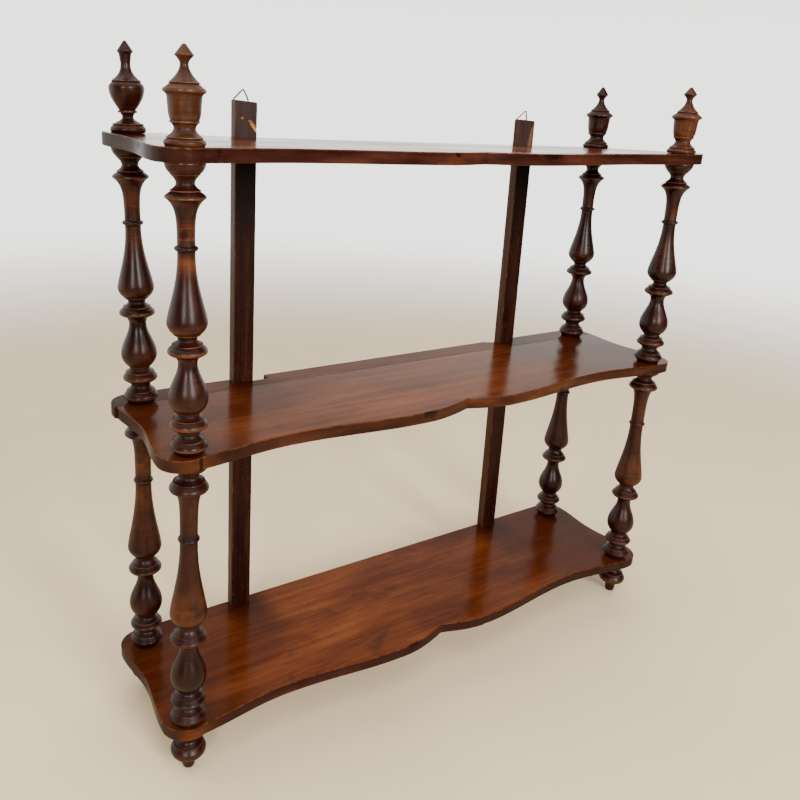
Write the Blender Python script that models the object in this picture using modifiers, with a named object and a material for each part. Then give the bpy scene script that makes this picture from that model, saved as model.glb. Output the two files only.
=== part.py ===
"""Wall etagere: three serpentine shelves on turned columns, with finials, feet and two hanging rails."""

import math

import bmesh
import bpy
from mathutils import Matrix, Vector

# Layout of the columns and the shelves
COLUMN_SPACING_X = 0.650
COLUMN_SPACING_Y = 0.136
FOOT_HEIGHT = 0.0439
LOWER_BAY = 0.2839
UPPER_BAY = 0.2597
SHELF_THICKNESS = 0.0126
SEAT_GAP = 0.0003

# Plan of a shelf, measured from the nearest column axis or from the middle of the front
LEFT_OVERHANG = 0.0285
RIGHT_OVERHANG = 0.0345
FRONT_LOBE_RADIUS = 0.026
FRONT_LOBE_OUT = 0.003
FRONT_LOBE_BACK = 0.0075
BACK_LOBE_RADIUS = 0.025
BACK_LOBE_BACK = 0.002
END_HOLLOW = 0.007
CUSP_DEPTH = 0.0145
PEAK_X = 0.062
PEAK_DEPTH = 0.0008
TROUGH_IN = 0.103
TROUGH_DEPTH = 0.0138
QUIRK_IN = 0.008
QUIRK_DEPTH = 0.0012
STRIP_LAND = 0.0022

# Turned work
RING_RADIUS = 0.0177
BULB_RADIUS = 0.0180
CUP_RADIUS = 0.0174
NECK_RADIUS = 0.0085
SHAFT_RADIUS = 0.0077
BEAD_RADIUS = 0.0095
DOME_RADIUS = 0.0142
BASE_RADIUS = 0.0158
COLUMN_BASE_RADIUS = 0.0136
FOOT_TOP_RADIUS = 0.0142
FOOT_KNOB_RADIUS = 0.0076
TENON_RADIUS = 0.0040
TENON_DEPTH = 0.014
SOCKET_CLEARANCE = 0.0003

# The back left upper column leans outwards and back, and its finial with it
LEAN_OUT = 0.0034
LEAN_BACK = 0.0029
LEAN_CLEARANCE = 0.0007

# Facets
TURN_STEPS = 12
FACET = 0.0085

# Back rails, and how far each stands above the top shelf
RAIL_WIDTH = 0.0244
RAIL_THICKNESS = 0.013
NOTCH_CLEARANCE = 0.0004
LEFT_RAIL_X = -0.2007
LEFT_RAIL_LEAN = 0.0
LEFT_RAIL_ABOVE = 0.0380
LEFT_HANGER_X = -0.0006
RIGHT_RAIL_X = 0.2150
RIGHT_RAIL_LEAN = -0.90
RIGHT_RAIL_ABOVE = 0.0325
RIGHT_HANGER_X = 0.0016
WIDE_NOTCH_EXTRA = 0.0196
BROKEN_NOTCH_EXTRA = 0.0140

# Nails through the rails
NAIL_RADIUS = 0.0009
NAIL_HEAD_RADIUS = 0.0020
NAIL_HEAD = 0.0008
NAIL_BITE = 0.017
NAIL_CLEARANCE = 0.0003
NAIL_STEPS = 6

# Hangers
WIRE_RADIUS = 0.0007
EYE_CLEARANCE = 0.00035
STRAP_THICKNESS = 0.0008
STRAP_WIDTH = 0.009
STRAP_LENGTH = 0.024
STRAP_NAIL_DROP = 0.014
STRAP_NAIL_LENGTH = 0.0125
HINGE_BELOW_HEAD = 0.0105
RING_WIDTH = 0.0172
RING_LEG = 0.0118
RING_ROOF = 0.0125
RING_LEAN = 5.0
RING_BEND = 25.0
RING_CORNER = 0.0022

# Heights and depths that follow from the sizes above
BOTTOM_Z = FOOT_HEIGHT
MIDDLE_Z = BOTTOM_Z + SHELF_THICKNESS + LOWER_BAY
TOP_Z = MIDDLE_Z + SHELF_THICKNESS + UPPER_BAY
SHELF_TOP_Z = TOP_Z + SHELF_THICKNESS
FRONT_OVERHANG = FRONT_LOBE_RADIUS - FRONT_LOBE_BACK
BACK_OVERHANG = BACK_LOBE_RADIUS + BACK_LOBE_BACK
EYE_RADIUS = WIRE_RADIUS + EYE_CLEARANCE + STRAP_THICKNESS
HANGER_PROUD = SEAT_GAP + 2 * EYE_RADIUS
NAIL_LENGTH = RAIL_THICKNESS + NAIL_BITE
TOTAL_DEPTH = FRONT_OVERHANG + COLUMN_SPACING_Y + BACK_OVERHANG + HANGER_PROUD
FRONT_Y = FRONT_OVERHANG - TOTAL_DEPTH / 2
BACK_Y = FRONT_Y + COLUMN_SPACING_Y
FRONT_EDGE_Y = FRONT_Y - FRONT_OVERHANG
BACK_EDGE_Y = BACK_Y + BACK_OVERHANG
NOTCH_Y = BACK_EDGE_Y - RAIL_THICKNESS - SEAT_GAP
STRIP_Y = BACK_Y - TENON_RADIUS - SOCKET_CLEARANCE - STRIP_LAND
COLUMN_X = COLUMN_SPACING_X / 2
MIDDLE_X = (LEFT_OVERHANG - RIGHT_OVERHANG) / 2

CORNERS = {
    "front_left": (MIDDLE_X - COLUMN_X, FRONT_Y),
    "front_right": (MIDDLE_X + COLUMN_X, FRONT_Y),
    "back_left": (MIDDLE_X - COLUMN_X, BACK_Y),
    "back_right": (MIDDLE_X + COLUMN_X, BACK_Y),
}

# Cutting lists of the turned pieces, from the top down: curve, height, radius it ends at.
# A height of None takes up what the piece's length leaves over.
UPPER_COLUMN = [
    ("round", 0.0104, 0.0121),
    ("cove", 0.0068, SHAFT_RADIUS),
    ("round", 0.0063, 0.0130),
    ("cove", 0.0056, RING_RADIUS),
    ("cove", 0.0106, 0.0098),
    ("cove", 0.0220, SHAFT_RADIUS),
    ("line", None, SHAFT_RADIUS),
    ("line", 0.0023, BEAD_RADIUS),
    ("line", 0.0023, SHAFT_RADIUS),
    ("line", 0.0028, SHAFT_RADIUS),
    ("bulb", 0.0590, BULB_RADIUS),
    ("round", 0.0108, 0.0134),
    ("cove", 0.0052, NECK_RADIUS),
    ("cove", 0.0050, DOME_RADIUS),
    ("cove", 0.0058, RING_RADIUS),
    ("round", 0.0050, 0.0110),
    ("cove", 0.0056, NECK_RADIUS),
    ("ogee", 0.0336, BULB_RADIUS),
    ("round", 0.0128, 0.0114),
    ("line", 0.0016, 0.0098),
    ("cove", 0.0050, DOME_RADIUS),
    ("cove", 0.0058, RING_RADIUS),
    ("round", 0.0056, 0.0114),
    ("cove", 0.0030, 0.0098),
    ("cove", 0.0064, DOME_RADIUS),
    ("cove", 0.0054, RING_RADIUS),
    ("round", 0.0074, COLUMN_BASE_RADIUS),
]

LOWER_COLUMN = [
    ("round", 0.0070, 0.0112),
    ("cove", 0.0032, 0.0096),
    ("cove", 0.0062, DOME_RADIUS),
    ("cove", 0.0064, RING_RADIUS),
    ("round", 0.0090, 0.0120),
    ("cove", 0.0095, 0.0096),
    ("cove", 0.0260, SHAFT_RADIUS),
    ("line", None, SHAFT_RADIUS),
    ("line", 0.0036, BEAD_RADIUS),
    ("line", 0.0038, SHAFT_RADIUS),
    ("bulb", 0.0750, BULB_RADIUS),
    ("round", 0.0122, 0.0110),
    ("cove", 0.0026, 0.0098),
    ("cove", 0.0062, DOME_RADIUS),
    ("cove", 0.0066, RING_RADIUS),
    ("round", 0.0060, 0.0105),
    ("cove", 0.0052, NECK_RADIUS),
    ("ogee", 0.0330, BULB_RADIUS),
    ("round", 0.0154, 0.0108),
    ("cove", 0.0024, 0.0098),
    ("cove", 0.0048, DOME_RADIUS),
    ("cove", 0.0048, RING_RADIUS),
    ("round", 0.0060, 0.0115),
    ("cove", 0.0022, 0.0100),
    ("cove", 0.0046, DOME_RADIUS),
    ("cove", 0.0060, RING_RADIUS),
    ("round", 0.0092, COLUMN_BASE_RADIUS),
]

CUP_FINIAL = [
    ("cove", 0.0010, 0.0019),
    ("line", 0.0075, 0.0078),
    ("cove", 0.0083, 0.0036),
    ("round", 0.0118, 0.0120),
    ("line", 0.0024, 0.0126),
    ("line", 0.0042, RING_RADIUS),
    ("cove", 0.0052, 0.0140),
    ("line", 0.0115, 0.0132),
    ("round", 0.0062, 0.0112),
    ("line", 0.0018, 0.0125),
    ("line", 0.0020, 0.0098),
    ("cove", 0.0033, 0.0090),
    ("round", 0.0070, 0.0148),
    ("cove", 0.0038, RING_RADIUS),
    ("round", 0.0027, BASE_RADIUS),
]

URN_FINIAL = [
    ("cove", 0.0012, 0.0022),
    ("line", 0.0085, 0.0075),
    ("cove", 0.0078, 0.0047),
    ("line", 0.0080, 0.0048),
    ("round", 0.0080, 0.0134),
    ("line", 0.0024, 0.0138),
    ("cove", 0.0050, 0.0165),
    ("round", 0.0205, 0.0074),
    ("line", 0.0022, 0.0090),
    ("line", 0.0024, 0.0060),
    ("cove", 0.0026, 0.0052),
    ("round", 0.0054, 0.0140),
    ("line", 0.0020, 0.0144),
    ("cove", 0.0034, 0.0168),
    ("round", 0.0031, 0.0148),
]

FOOT = [
    ("cove", None, NECK_RADIUS),
    ("round", 0.0052, 0.0143),
    ("cove", 0.0076, RING_RADIUS),
    ("nose", 0.0098, 0.0082),
    ("line", 0.0014, FOOT_KNOB_RADIUS),
    ("line", 0.0104, 0.0058),
    ("line", 0.0006, 0.0050),
]

LEANING = "back_left"

CURVES = {
    "line": lambda t: t,
    "ogee": lambda t: (1 - math.cos(math.pi * t)) / 2,
    "cove": lambda t: math.sin(math.pi * t / 2),
    "round": lambda t: 1 - math.cos(math.pi * t / 2),
    "bulb": lambda t: 1 - (1 - t * t) ** 1.35,
    "nose": lambda t: 1 - math.sqrt(1 - t * t),
}


def clear_scene():
    for obj in list(bpy.data.objects):
        bpy.data.objects.remove(obj, do_unlink=True)


def new_collection(name, hidden=False):
    collection = bpy.data.collections.new(name)
    collection.hide_render = hidden
    bpy.context.scene.collection.children.link(collection)
    return collection


def new_material(name, color, roughness, metallic=0.0):
    material = bpy.data.materials.new(name)
    material.use_nodes = True
    shader = material.node_tree.nodes["Principled BSDF"]
    shader.inputs["Base Color"].default_value = (*color, 1.0)
    shader.inputs["Roughness"].default_value = roughness
    shader.inputs["Metallic"].default_value = metallic
    material.diffuse_color = (*color, 1.0)
    return material


def new_object(name, data, material, location=(0, 0, 0), parent=None):
    obj = bpy.data.objects.new(name, data)
    PARTS.objects.link(obj)
    if material:
        data.materials.append(material)
    obj.parent = parent
    obj.location = location
    return obj


def make_cutter(obj):
    PARTS.objects.unlink(obj)
    CUTTERS.objects.link(obj)
    obj.hide_render = True
    obj.display_type = "WIRE"
    return obj


def cut(obj, cutter):
    modifier = obj.modifiers.new("Cut " + cutter.name, "BOOLEAN")
    modifier.operation = "DIFFERENCE"
    modifier.solver = "EXACT"
    modifier.object = cutter


# Turned pieces

def turning(start_radius, members, length):
    """The outline of a turning as (radius, height) points, from its top at `length` down to 0."""
    spare = length - sum(height for _, height, _ in members if height is not None)
    radius = start_radius
    z = length
    points = [(radius, z)]
    for curve, height, end_radius in members:
        drop = spare if height is None else height
        count = round(math.hypot(drop, end_radius - radius) / FACET)
        least = 3 if curve == "nose" else 1
        count = 1 if curve == "line" else min(max(count, least), 5)
        for i in range(1, count + 1):
            t = i / count
            points.append((radius + (end_radius - radius) * CURVES[curve](t), z - drop * t))
        radius = end_radius
        z -= drop
    return points


def tenon_above(length):
    """A tenon that stands up through the shelf above and into the next piece's socket."""
    top = length + 2 * SEAT_GAP + SHELF_THICKNESS + TENON_DEPTH
    return [(0, top), (TENON_RADIUS, top), (TENON_RADIUS, length)]


def tenon_below():
    """A tenon that goes down through the shelf below and into the next piece's socket."""
    bottom = -2 * SEAT_GAP - SHELF_THICKNESS - TENON_DEPTH
    return [(TENON_RADIUS, 0), (TENON_RADIUS, bottom), (0, bottom)]


def socket_above(length):
    floor = length - TENON_DEPTH - SOCKET_CLEARANCE
    radius = TENON_RADIUS + SOCKET_CLEARANCE
    return [(0, floor), (radius, floor), (radius, length)]


def socket_below(clearance=SOCKET_CLEARANCE):
    roof = TENON_DEPTH + clearance
    radius = TENON_RADIUS + clearance
    return [(radius, 0), (radius, roof), (0, roof)]


def turned(name, outline, material, location, steps=TURN_STEPS, parent=None):
    mesh = bpy.data.meshes.new(name)
    edges = [(i, i + 1) for i in range(len(outline) - 1)]
    mesh.from_pydata([(radius, 0, z) for radius, z in outline], edges, [])
    obj = new_object(name, mesh, material, location, parent)
    screw = obj.modifiers.new("Turn", "SCREW")
    screw.axis = "Z"
    screw.angle = 2 * math.pi
    screw.steps = steps
    screw.render_steps = steps
    screw.use_merge_vertices = True
    screw.merge_threshold = 0.00001
    screw.use_smooth_shade = True
    return obj


def foot(corner):
    length = FOOT_HEIGHT - SEAT_GAP
    outline = tenon_above(length) + turning(FOOT_TOP_RADIUS, FOOT, length) + [(0, 0)]
    return turned("foot_" + corner, outline, TURNED_WOOD, (*CORNERS[corner], 0))


def lower_column(corner):
    length = LOWER_BAY - 2 * SEAT_GAP
    outline = tenon_above(length) + turning(CUP_RADIUS, LOWER_COLUMN, length) + socket_below()
    base_z = BOTTOM_Z + SHELF_THICKNESS + SEAT_GAP
    return turned("lower_column_" + corner, outline, TURNED_WOOD, (*CORNERS[corner], base_z))


def upper_column(corner):
    length = UPPER_BAY - 2 * SEAT_GAP
    outline = socket_above(length) + turning(CUP_RADIUS, UPPER_COLUMN, length) + socket_below()
    base_z = MIDDLE_Z + SHELF_THICKNESS + SEAT_GAP
    return turned("upper_column_" + corner, outline, TURNED_WOOD, (*CORNERS[corner], base_z))


def finial(corner, members, material):
    length = sum(height for _, height, _ in members)
    outline = turning(0, members, length) + tenon_below()
    return turned("finial_" + corner, outline, material, (*CORNERS[corner], SHELF_TOP_Z + SEAT_GAP))


def leaning_point(z):
    """Where the leaning corner's axis crosses the height z."""
    x, y = CORNERS[LEANING]
    share = (z - MIDDLE_Z - SHELF_THICKNESS) / UPPER_BAY
    return x - LEAN_OUT * share, y + LEAN_BACK * share, z


def lean(obj):
    """Tilts a piece about its base, along the leaning corner's axis."""
    direction = Vector((-LEAN_OUT, LEAN_BACK, UPPER_BAY))
    obj.rotation_mode = "QUATERNION"
    obj.rotation_quaternion = Vector((0, 0, 1)).rotation_difference(direction)


def leaning_column():
    """The upper column that leans: shorter by what its tilted ends need, with a looser lower socket."""
    tilt = math.hypot(LEAN_OUT, LEAN_BACK) / UPPER_BAY
    lift = SEAT_GAP + RING_RADIUS * tilt
    length = UPPER_BAY - 2 * lift
    outline = socket_above(length) + turning(CUP_RADIUS, UPPER_COLUMN, length) + socket_below(LEAN_CLEARANCE)
    base = leaning_point(MIDDLE_Z + SHELF_THICKNESS + lift)
    lean(turned("upper_column_" + LEANING, outline, TURNED_WOOD, base))


def leaning_finial(members, material):
    tilt = math.hypot(LEAN_OUT, LEAN_BACK) / UPPER_BAY
    length = sum(height for _, height, _ in members)
    outline = turning(0, members, length) + tenon_below()
    base = leaning_point(SHELF_TOP_Z + SEAT_GAP + RING_RADIUS * tilt)
    lean(turned("finial_" + LEANING, outline, material, base))


# Shelves

def sweep(start, end, ease, count):
    """Points after `start` up to `end`, evenly spaced in x, with y following `ease`."""
    points = []
    for i in range(1, count + 1):
        t = i / count
        points.append((start[0] + (end[0] - start[0]) * t, start[1] + (end[1] - start[1]) * ease(t)))
    return points


def arc(x, y, radius, first_deg, last_deg, count):
    points = []
    for i in range(count + 1):
        angle = math.radians(first_deg + (last_deg - first_deg) * i / count)
        points.append((x + radius * math.cos(angle), y + radius * math.sin(angle)))
    return points


def late_ogee(t):
    """An S-curve that is still rising a little where it ends."""
    return (1 - math.cos(0.8 * math.pi * t)) / (1 - math.cos(0.8 * math.pi))


def half_outline(overhang):
    """Half of a shelf's edge, from the cusp round to its back corner, as if it were the right half."""
    cusp = (0, FRONT_EDGE_Y + CUSP_DEPTH)
    peak = (PEAK_X, FRONT_EDGE_Y + PEAK_DEPTH)
    trough = (COLUMN_X - TROUGH_IN, FRONT_EDGE_Y + TROUGH_DEPTH)
    lobe_x = COLUMN_X + FRONT_LOBE_OUT
    lobe_y = FRONT_Y + FRONT_LOBE_BACK
    end_x = COLUMN_X + overhang
    corner_y = BACK_Y + BACK_LOBE_BACK
    quirk_deg = -90 - math.degrees(math.asin((FRONT_LOBE_OUT + QUIRK_IN) / FRONT_LOBE_RADIUS))
    lobe = arc(lobe_x, lobe_y, FRONT_LOBE_RADIUS, quirk_deg, -90, 2)
    lobe += arc(end_x - FRONT_LOBE_RADIUS, lobe_y, FRONT_LOBE_RADIUS, -90, 0, 6)
    corner = arc(end_x - BACK_LOBE_RADIUS, corner_y, BACK_LOBE_RADIUS, 0, 90, 6)
    quirk = (lobe[0][0] - 0.0005, lobe[0][1] + QUIRK_DEPTH)
    points = [cusp]
    points += sweep(cusp, peak, CURVES["cove"], 5)
    points += sweep(peak, trough, CURVES["ogee"], 7)
    points += sweep(trough, quirk, late_ogee, 5)
    points += lobe
    for i in range(1, 7):
        t = i / 7
        hollow = END_HOLLOW * math.sin(math.pi * t) ** 2
        points.append((end_x - hollow, lobe_y + (corner_y - lobe_y) * t))
    return points + corner


def rail_centre(x, rail_lean, z):
    """Where a rail's centre line crosses the height z."""
    return MIDDLE_X + x + math.tan(math.radians(rail_lean)) * (z - BOTTOM_Z)


def notch(x, rail_lean, z, wide=0.0, broken=0.0):
    """A rail's notch in a shelf whose underside is at z, from right to left; its left side may be broken away."""
    foot_x = rail_centre(x, rail_lean, z)
    head_x = rail_centre(x, rail_lean, z + SHELF_THICKNESS)
    half = RAIL_WIDTH / 2 / math.cos(math.radians(rail_lean)) + NOTCH_CLEARANCE
    left = min(foot_x, head_x) - half
    right = max(foot_x, head_x) + half + wide
    return [(right, BACK_EDGE_Y), (right, NOTCH_Y), (left, NOTCH_Y), (left - broken, BACK_EDGE_Y)]


def shelf_outline(z, wide=0.0, broken=0.0):
    right = [(MIDDLE_X + x, y) for x, y in half_outline(RIGHT_OVERHANG)]
    left = [(MIDDLE_X - x, y) for x, y in reversed(half_outline(LEFT_OVERHANG)[1:])]
    back = notch(RIGHT_RAIL_X, RIGHT_RAIL_LEAN, z, broken=broken)
    back += notch(LEFT_RAIL_X, LEFT_RAIL_LEAN, z, wide=wide)
    return right + back + left


def keep_side(outline, y_line, side):
    """The part of an outline on one side of a line along X: side is -1 for the front, 1 for the back."""
    kept = []
    for i, end in enumerate(outline):
        start = outline[i - 1]
        start_in = (start[1] - y_line) * side > 0
        end_in = (end[1] - y_line) * side > 0
        if start_in != end_in:
            t = (y_line - start[1]) / (end[1] - start[1])
            kept.append((start[0] + (end[0] - start[0]) * t, y_line))
        if end_in:
            kept.append(end)
    return kept


def flat_solid(name, loops, thickness, material, location, parent=None):
    """A plate from closed 2D loops, the first its edge and the rest its holes, welded into one body."""
    curve = bpy.data.curves.new(name, "CURVE")
    curve.dimensions = "2D"
    curve.fill_mode = "BOTH"
    curve.extrude = thickness / 2
    for loop in loops:
        spline = curve.splines.new("POLY")
        spline.points.add(len(loop) - 1)
        spline.use_cyclic_u = True
        for point, (x, y) in zip(spline.points, loop):
            point.co = (x, y, 0, 1)
    sketch = new_object(name + "_sketch", curve, None)
    depsgraph = bpy.context.evaluated_depsgraph_get()
    mesh = bpy.data.meshes.new_from_object(sketch.evaluated_get(depsgraph))
    mesh.name = name
    bpy.data.objects.remove(sketch, do_unlink=True)
    body = bmesh.new()
    body.from_mesh(mesh)
    bmesh.ops.remove_doubles(body, verts=body.verts, dist=0.000005)
    bmesh.ops.recalc_face_normals(body, faces=body.faces)
    body.to_mesh(mesh)
    body.free()
    mesh.materials.clear()
    return new_object(name, mesh, material, location, parent)


def round_hole(x, y, radius):
    return arc(x, y, radius, 0, 360 - 360 / TURN_STEPS, TURN_STEPS - 1)


def tenon_hole(corner):
    return round_hole(*CORNERS[corner], TENON_RADIUS + SOCKET_CLEARANCE)


def leaning_hole():
    x, y, _ = leaning_point(TOP_Z + SHELF_THICKNESS / 2)
    return round_hole(x, y, TENON_RADIUS + LEAN_CLEARANCE)


def shelf(name, z, outline, holes):
    loops = [outline] + holes
    return flat_solid(name, loops, SHELF_THICKNESS, SHELF_WOOD, (0, 0, z + SHELF_THICKNESS / 2))


# Rails, nails and hangers

def rail_frame(side, x, rail_lean):
    """An empty at a rail's foot, on its back face: local Z runs up the rail."""
    frame = new_object("rail_frame_" + side, None, None, (MIDDLE_X + x, BACK_EDGE_Y, BOTTOM_Z))
    frame.rotation_euler = (0, math.radians(rail_lean), 0)
    return frame


def back_rail(side, frame, length):
    mesh = bpy.data.meshes.new("back_rail_" + side)
    body = bmesh.new()
    size = Matrix.Diagonal((RAIL_WIDTH, RAIL_THICKNESS, length, 1))
    centre = Matrix.Translation((0, -RAIL_THICKNESS / 2, length / 2))
    bmesh.ops.create_cube(body, size=1, matrix=centre @ size)
    body.to_mesh(mesh)
    body.free()
    return new_object("back_rail_" + side, mesh, RAIL_WOOD, (0, 0, 0), frame)


def nail_outline(length, grow):
    """A nail from its head's top at 0, down to its point; `grow` makes the hole it sits in."""
    head = NAIL_HEAD_RADIUS + grow
    shank = NAIL_RADIUS + grow
    top = 0.0015 if grow else 0
    tip = 2 * NAIL_RADIUS
    points = [(0, top), (head, top), (head, -NAIL_HEAD - grow), (shank, -NAIL_HEAD - grow)]
    return points + [(shank, tip - length - grow), (0.3 * NAIL_RADIUS + grow, -length - grow), (0, -length - grow)]


def nail(name, frame, place, length):
    """A nail driven in from the back of a rail, and the cutter for its hole."""
    pieces = []
    for label, grow, material in (("", 0.0, STEEL), ("_hole", NAIL_CLEARANCE, None)):
        outline = nail_outline(length, grow)
        obj = turned(name + label, outline, material, place, NAIL_STEPS, frame)
        obj.rotation_euler = (math.radians(-90), 0, 0)
        pieces.append(obj)
    return pieces[0], make_cutter(pieces[1])


def hanger_strap(side, frame, x, hinge_z):
    """A strip on the rail's back, its top rolled into an eye for the wire; local X is depth, Y is height."""
    centre = SEAT_GAP + EYE_RADIUS
    plate_back = SEAT_GAP + STRAP_THICKNESS
    meet = -math.degrees(math.acos((plate_back - centre) / EYE_RADIUS))
    edge = [(plate_back, -STRAP_LENGTH), (SEAT_GAP, -STRAP_LENGTH)]
    edge += arc(centre, 0, EYE_RADIUS, 180, meet, 12)
    eye = arc(centre, 0, EYE_RADIUS - STRAP_THICKNESS, 0, 330, 11)
    strap = flat_solid("hanger_strap_" + side, [edge, eye], STRAP_WIDTH, STEEL, (x, 0, hinge_z), frame)
    strap.rotation_euler = (math.radians(90), 0, math.radians(90))
    return strap


def ring_path():
    """The wire's centre line as (across, along the leg) corners, rounded, in a flat pattern."""
    half = RING_WIDTH / 2
    top = RING_LEG + RING_ROOF
    corners = [(-half, 0), (half, 0), (half, RING_LEG), (0, top), (-half, RING_LEG)]
    path = []
    for i, (x, z) in enumerate(corners):
        before = corners[i - 1]
        after = corners[(i + 1) % len(corners)]
        for other in (before, (x, z), after):
            reach = math.hypot(other[0] - x, other[1] - z)
            share = RING_CORNER / reach if reach else 0
            path.append((x + (other[0] - x) * share, z + (other[1] - z) * share))
    rounded = []
    for i in range(0, len(path), 3):
        first, middle, last = path[i:i + 3]
        for j in range(4):
            t = j / 3
            blend = [(1 - t) ** 2, 2 * t * (1 - t), t ** 2]
            rounded.append(tuple(sum(w * p[k] for w, p in zip(blend, (first, middle, last))) for k in (0, 1)))
    return rounded


def hanger_ring(side, frame, x, hinge_z):
    """A wire loop, leaning on the rail's head, with its roof bent further forward; origin on its hinge."""
    lean = math.radians(RING_LEAN)
    bend = math.radians(RING_LEAN + RING_BEND)
    curve = bpy.data.curves.new("hanger_ring_" + side, "CURVE")
    curve.dimensions = "3D"
    curve.bevel_depth = WIRE_RADIUS
    curve.bevel_resolution = 2
    path = ring_path()
    spline = curve.splines.new("POLY")
    spline.points.add(len(path) - 1)
    spline.use_cyclic_u = True
    for point, (across, along) in zip(spline.points, path):
        leg = min(along, RING_LEG)
        roof = along - leg
        y = -leg * math.sin(lean) - roof * math.sin(bend)
        z = leg * math.cos(lean) + roof * math.cos(bend)
        point.co = (across, y, z, 1)
    return new_object("hanger_ring_" + side, curve, WIRE, (x, SEAT_GAP + EYE_RADIUS, hinge_z), frame)


def hanging_rail(side, x, rail_lean, above, hanger_x):
    """A rail with its nails, strap and ring; returns the holes that its nails need in the shelves."""
    frame = rail_frame(side, x, rail_lean)
    upright = math.cos(math.radians(rail_lean))
    length = (SHELF_TOP_Z + above - BOTTOM_Z) / upright
    rail = back_rail(side, frame, length)
    holes = {}
    for level, z in (("bottom", BOTTOM_Z), ("middle", MIDDLE_Z), ("top", TOP_Z)):
        place = (0, -NAIL_CLEARANCE, (z + SHELF_THICKNESS / 2 - BOTTOM_Z) / upright)
        holes[level] = nail("rail_nail_" + side + "_" + level, frame, place, NAIL_LENGTH)[1]
        cut(rail, holes[level])
    hinge_z = length - HINGE_BELOW_HEAD
    strap = hanger_strap(side, frame, hanger_x, hinge_z)
    hanger_ring(side, frame, hanger_x, hinge_z)
    head_y = SEAT_GAP + STRAP_THICKNESS + NAIL_CLEARANCE + NAIL_HEAD
    place = (hanger_x, head_y, hinge_z - STRAP_NAIL_DROP)
    strap_hole = nail("strap_nail_" + side, frame, place, STRAP_NAIL_LENGTH)[1]
    cut(strap, strap_hole)
    cut(rail, strap_hole)
    return holes


clear_scene()
PARTS = new_collection("wall_etagere")
CUTTERS = new_collection("cutters", hidden=True)

SHELF_WOOD = new_material("shelf_wood", (0.19, 0.068, 0.030), 0.35)
TURNED_WOOD = new_material("turned_wood", (0.105, 0.032, 0.016), 0.38)
PALE_TURNED_WOOD = new_material("pale_turned_wood", (0.26, 0.105, 0.040), 0.42)
RAIL_WOOD = new_material("rail_wood", (0.045, 0.022, 0.016), 0.60)
STEEL = new_material("steel", (0.33, 0.32, 0.30), 0.45, 1.0)
WIRE = new_material("wire", (0.42, 0.41, 0.40), 0.35, 1.0)

for place in CORNERS:
    foot(place)
    lower_column(place)
    if place != LEANING:
        upper_column(place)
leaning_column()

finial("front_left", CUP_FINIAL, PALE_TURNED_WOOD)
finial("front_right", CUP_FINIAL, PALE_TURNED_WOOD)
finial("back_right", CUP_FINIAL, TURNED_WOOD)
leaning_finial(URN_FINIAL, TURNED_WOOD)

FRONT_HOLES = [tenon_hole("front_left"), tenon_hole("front_right")]
BACK_HOLES = [tenon_hole("back_left"), tenon_hole("back_right")]
TOP_HOLES = FRONT_HOLES + [leaning_hole(), tenon_hole("back_right")]
MIDDLE_OUTLINE = shelf_outline(MIDDLE_Z, WIDE_NOTCH_EXTRA, BROKEN_NOTCH_EXTRA)
bottom_shelf = shelf("bottom_shelf", BOTTOM_Z, shelf_outline(BOTTOM_Z), FRONT_HOLES + BACK_HOLES)
shelf("middle_shelf", MIDDLE_Z, keep_side(MIDDLE_OUTLINE, STRIP_Y - SEAT_GAP, -1), FRONT_HOLES)
middle_strip = shelf("middle_shelf_back_strip", MIDDLE_Z, keep_side(MIDDLE_OUTLINE, STRIP_Y, 1), BACK_HOLES)
top_shelf = shelf("top_shelf", TOP_Z, shelf_outline(TOP_Z), TOP_HOLES)

RAILS = (
    ("left", LEFT_RAIL_X, LEFT_RAIL_LEAN, LEFT_RAIL_ABOVE, LEFT_HANGER_X),
    ("right", RIGHT_RAIL_X, RIGHT_RAIL_LEAN, RIGHT_RAIL_ABOVE, RIGHT_HANGER_X),
)
for rail_values in RAILS:
    nail_holes = hanging_rail(*rail_values)
    cut(bottom_shelf, nail_holes["bottom"])
    cut(middle_strip, nail_holes["middle"])
    cut(top_shelf, nail_holes["top"])
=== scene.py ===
import math

import bpy
from mathutils import Matrix, Vector, noise


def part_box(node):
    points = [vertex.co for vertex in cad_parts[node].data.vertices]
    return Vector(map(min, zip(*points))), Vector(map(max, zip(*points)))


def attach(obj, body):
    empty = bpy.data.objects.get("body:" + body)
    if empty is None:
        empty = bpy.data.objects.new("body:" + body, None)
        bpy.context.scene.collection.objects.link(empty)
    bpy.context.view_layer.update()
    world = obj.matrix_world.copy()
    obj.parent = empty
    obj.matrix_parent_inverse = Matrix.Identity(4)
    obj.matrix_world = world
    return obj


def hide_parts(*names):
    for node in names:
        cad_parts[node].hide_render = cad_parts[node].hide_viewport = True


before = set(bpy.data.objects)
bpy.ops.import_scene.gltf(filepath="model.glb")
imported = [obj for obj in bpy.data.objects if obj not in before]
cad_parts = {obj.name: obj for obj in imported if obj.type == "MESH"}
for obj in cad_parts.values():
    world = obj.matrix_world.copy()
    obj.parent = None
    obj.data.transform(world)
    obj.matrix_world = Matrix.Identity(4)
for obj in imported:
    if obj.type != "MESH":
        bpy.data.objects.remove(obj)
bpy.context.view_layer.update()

MM = 0.001

# Plan of a shelf, in millimetres, as in the solids
HALF_SPACING = 325.0
LEFT_OVERHANG = 28.5
RIGHT_OVERHANG = 34.5
FRONT_LOBE_RADIUS = 26.0
FRONT_LOBE_OUT = 3.0
FRONT_LOBE_BACK = 7.5
BACK_LOBE_RADIUS = 25.0
BACK_LOBE_BACK = 2.0
END_HOLLOW = 7.0
CUSP_DEPTH = 14.5
PEAK_X = 62.0
PEAK_DEPTH = 0.8
TROUGH_IN = 103.0
TROUGH_DEPTH = 13.8
QUIRK_IN = 8.0
MIDDLE_X = (LEFT_OVERHANG - RIGHT_OVERHANG) / 2

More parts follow.
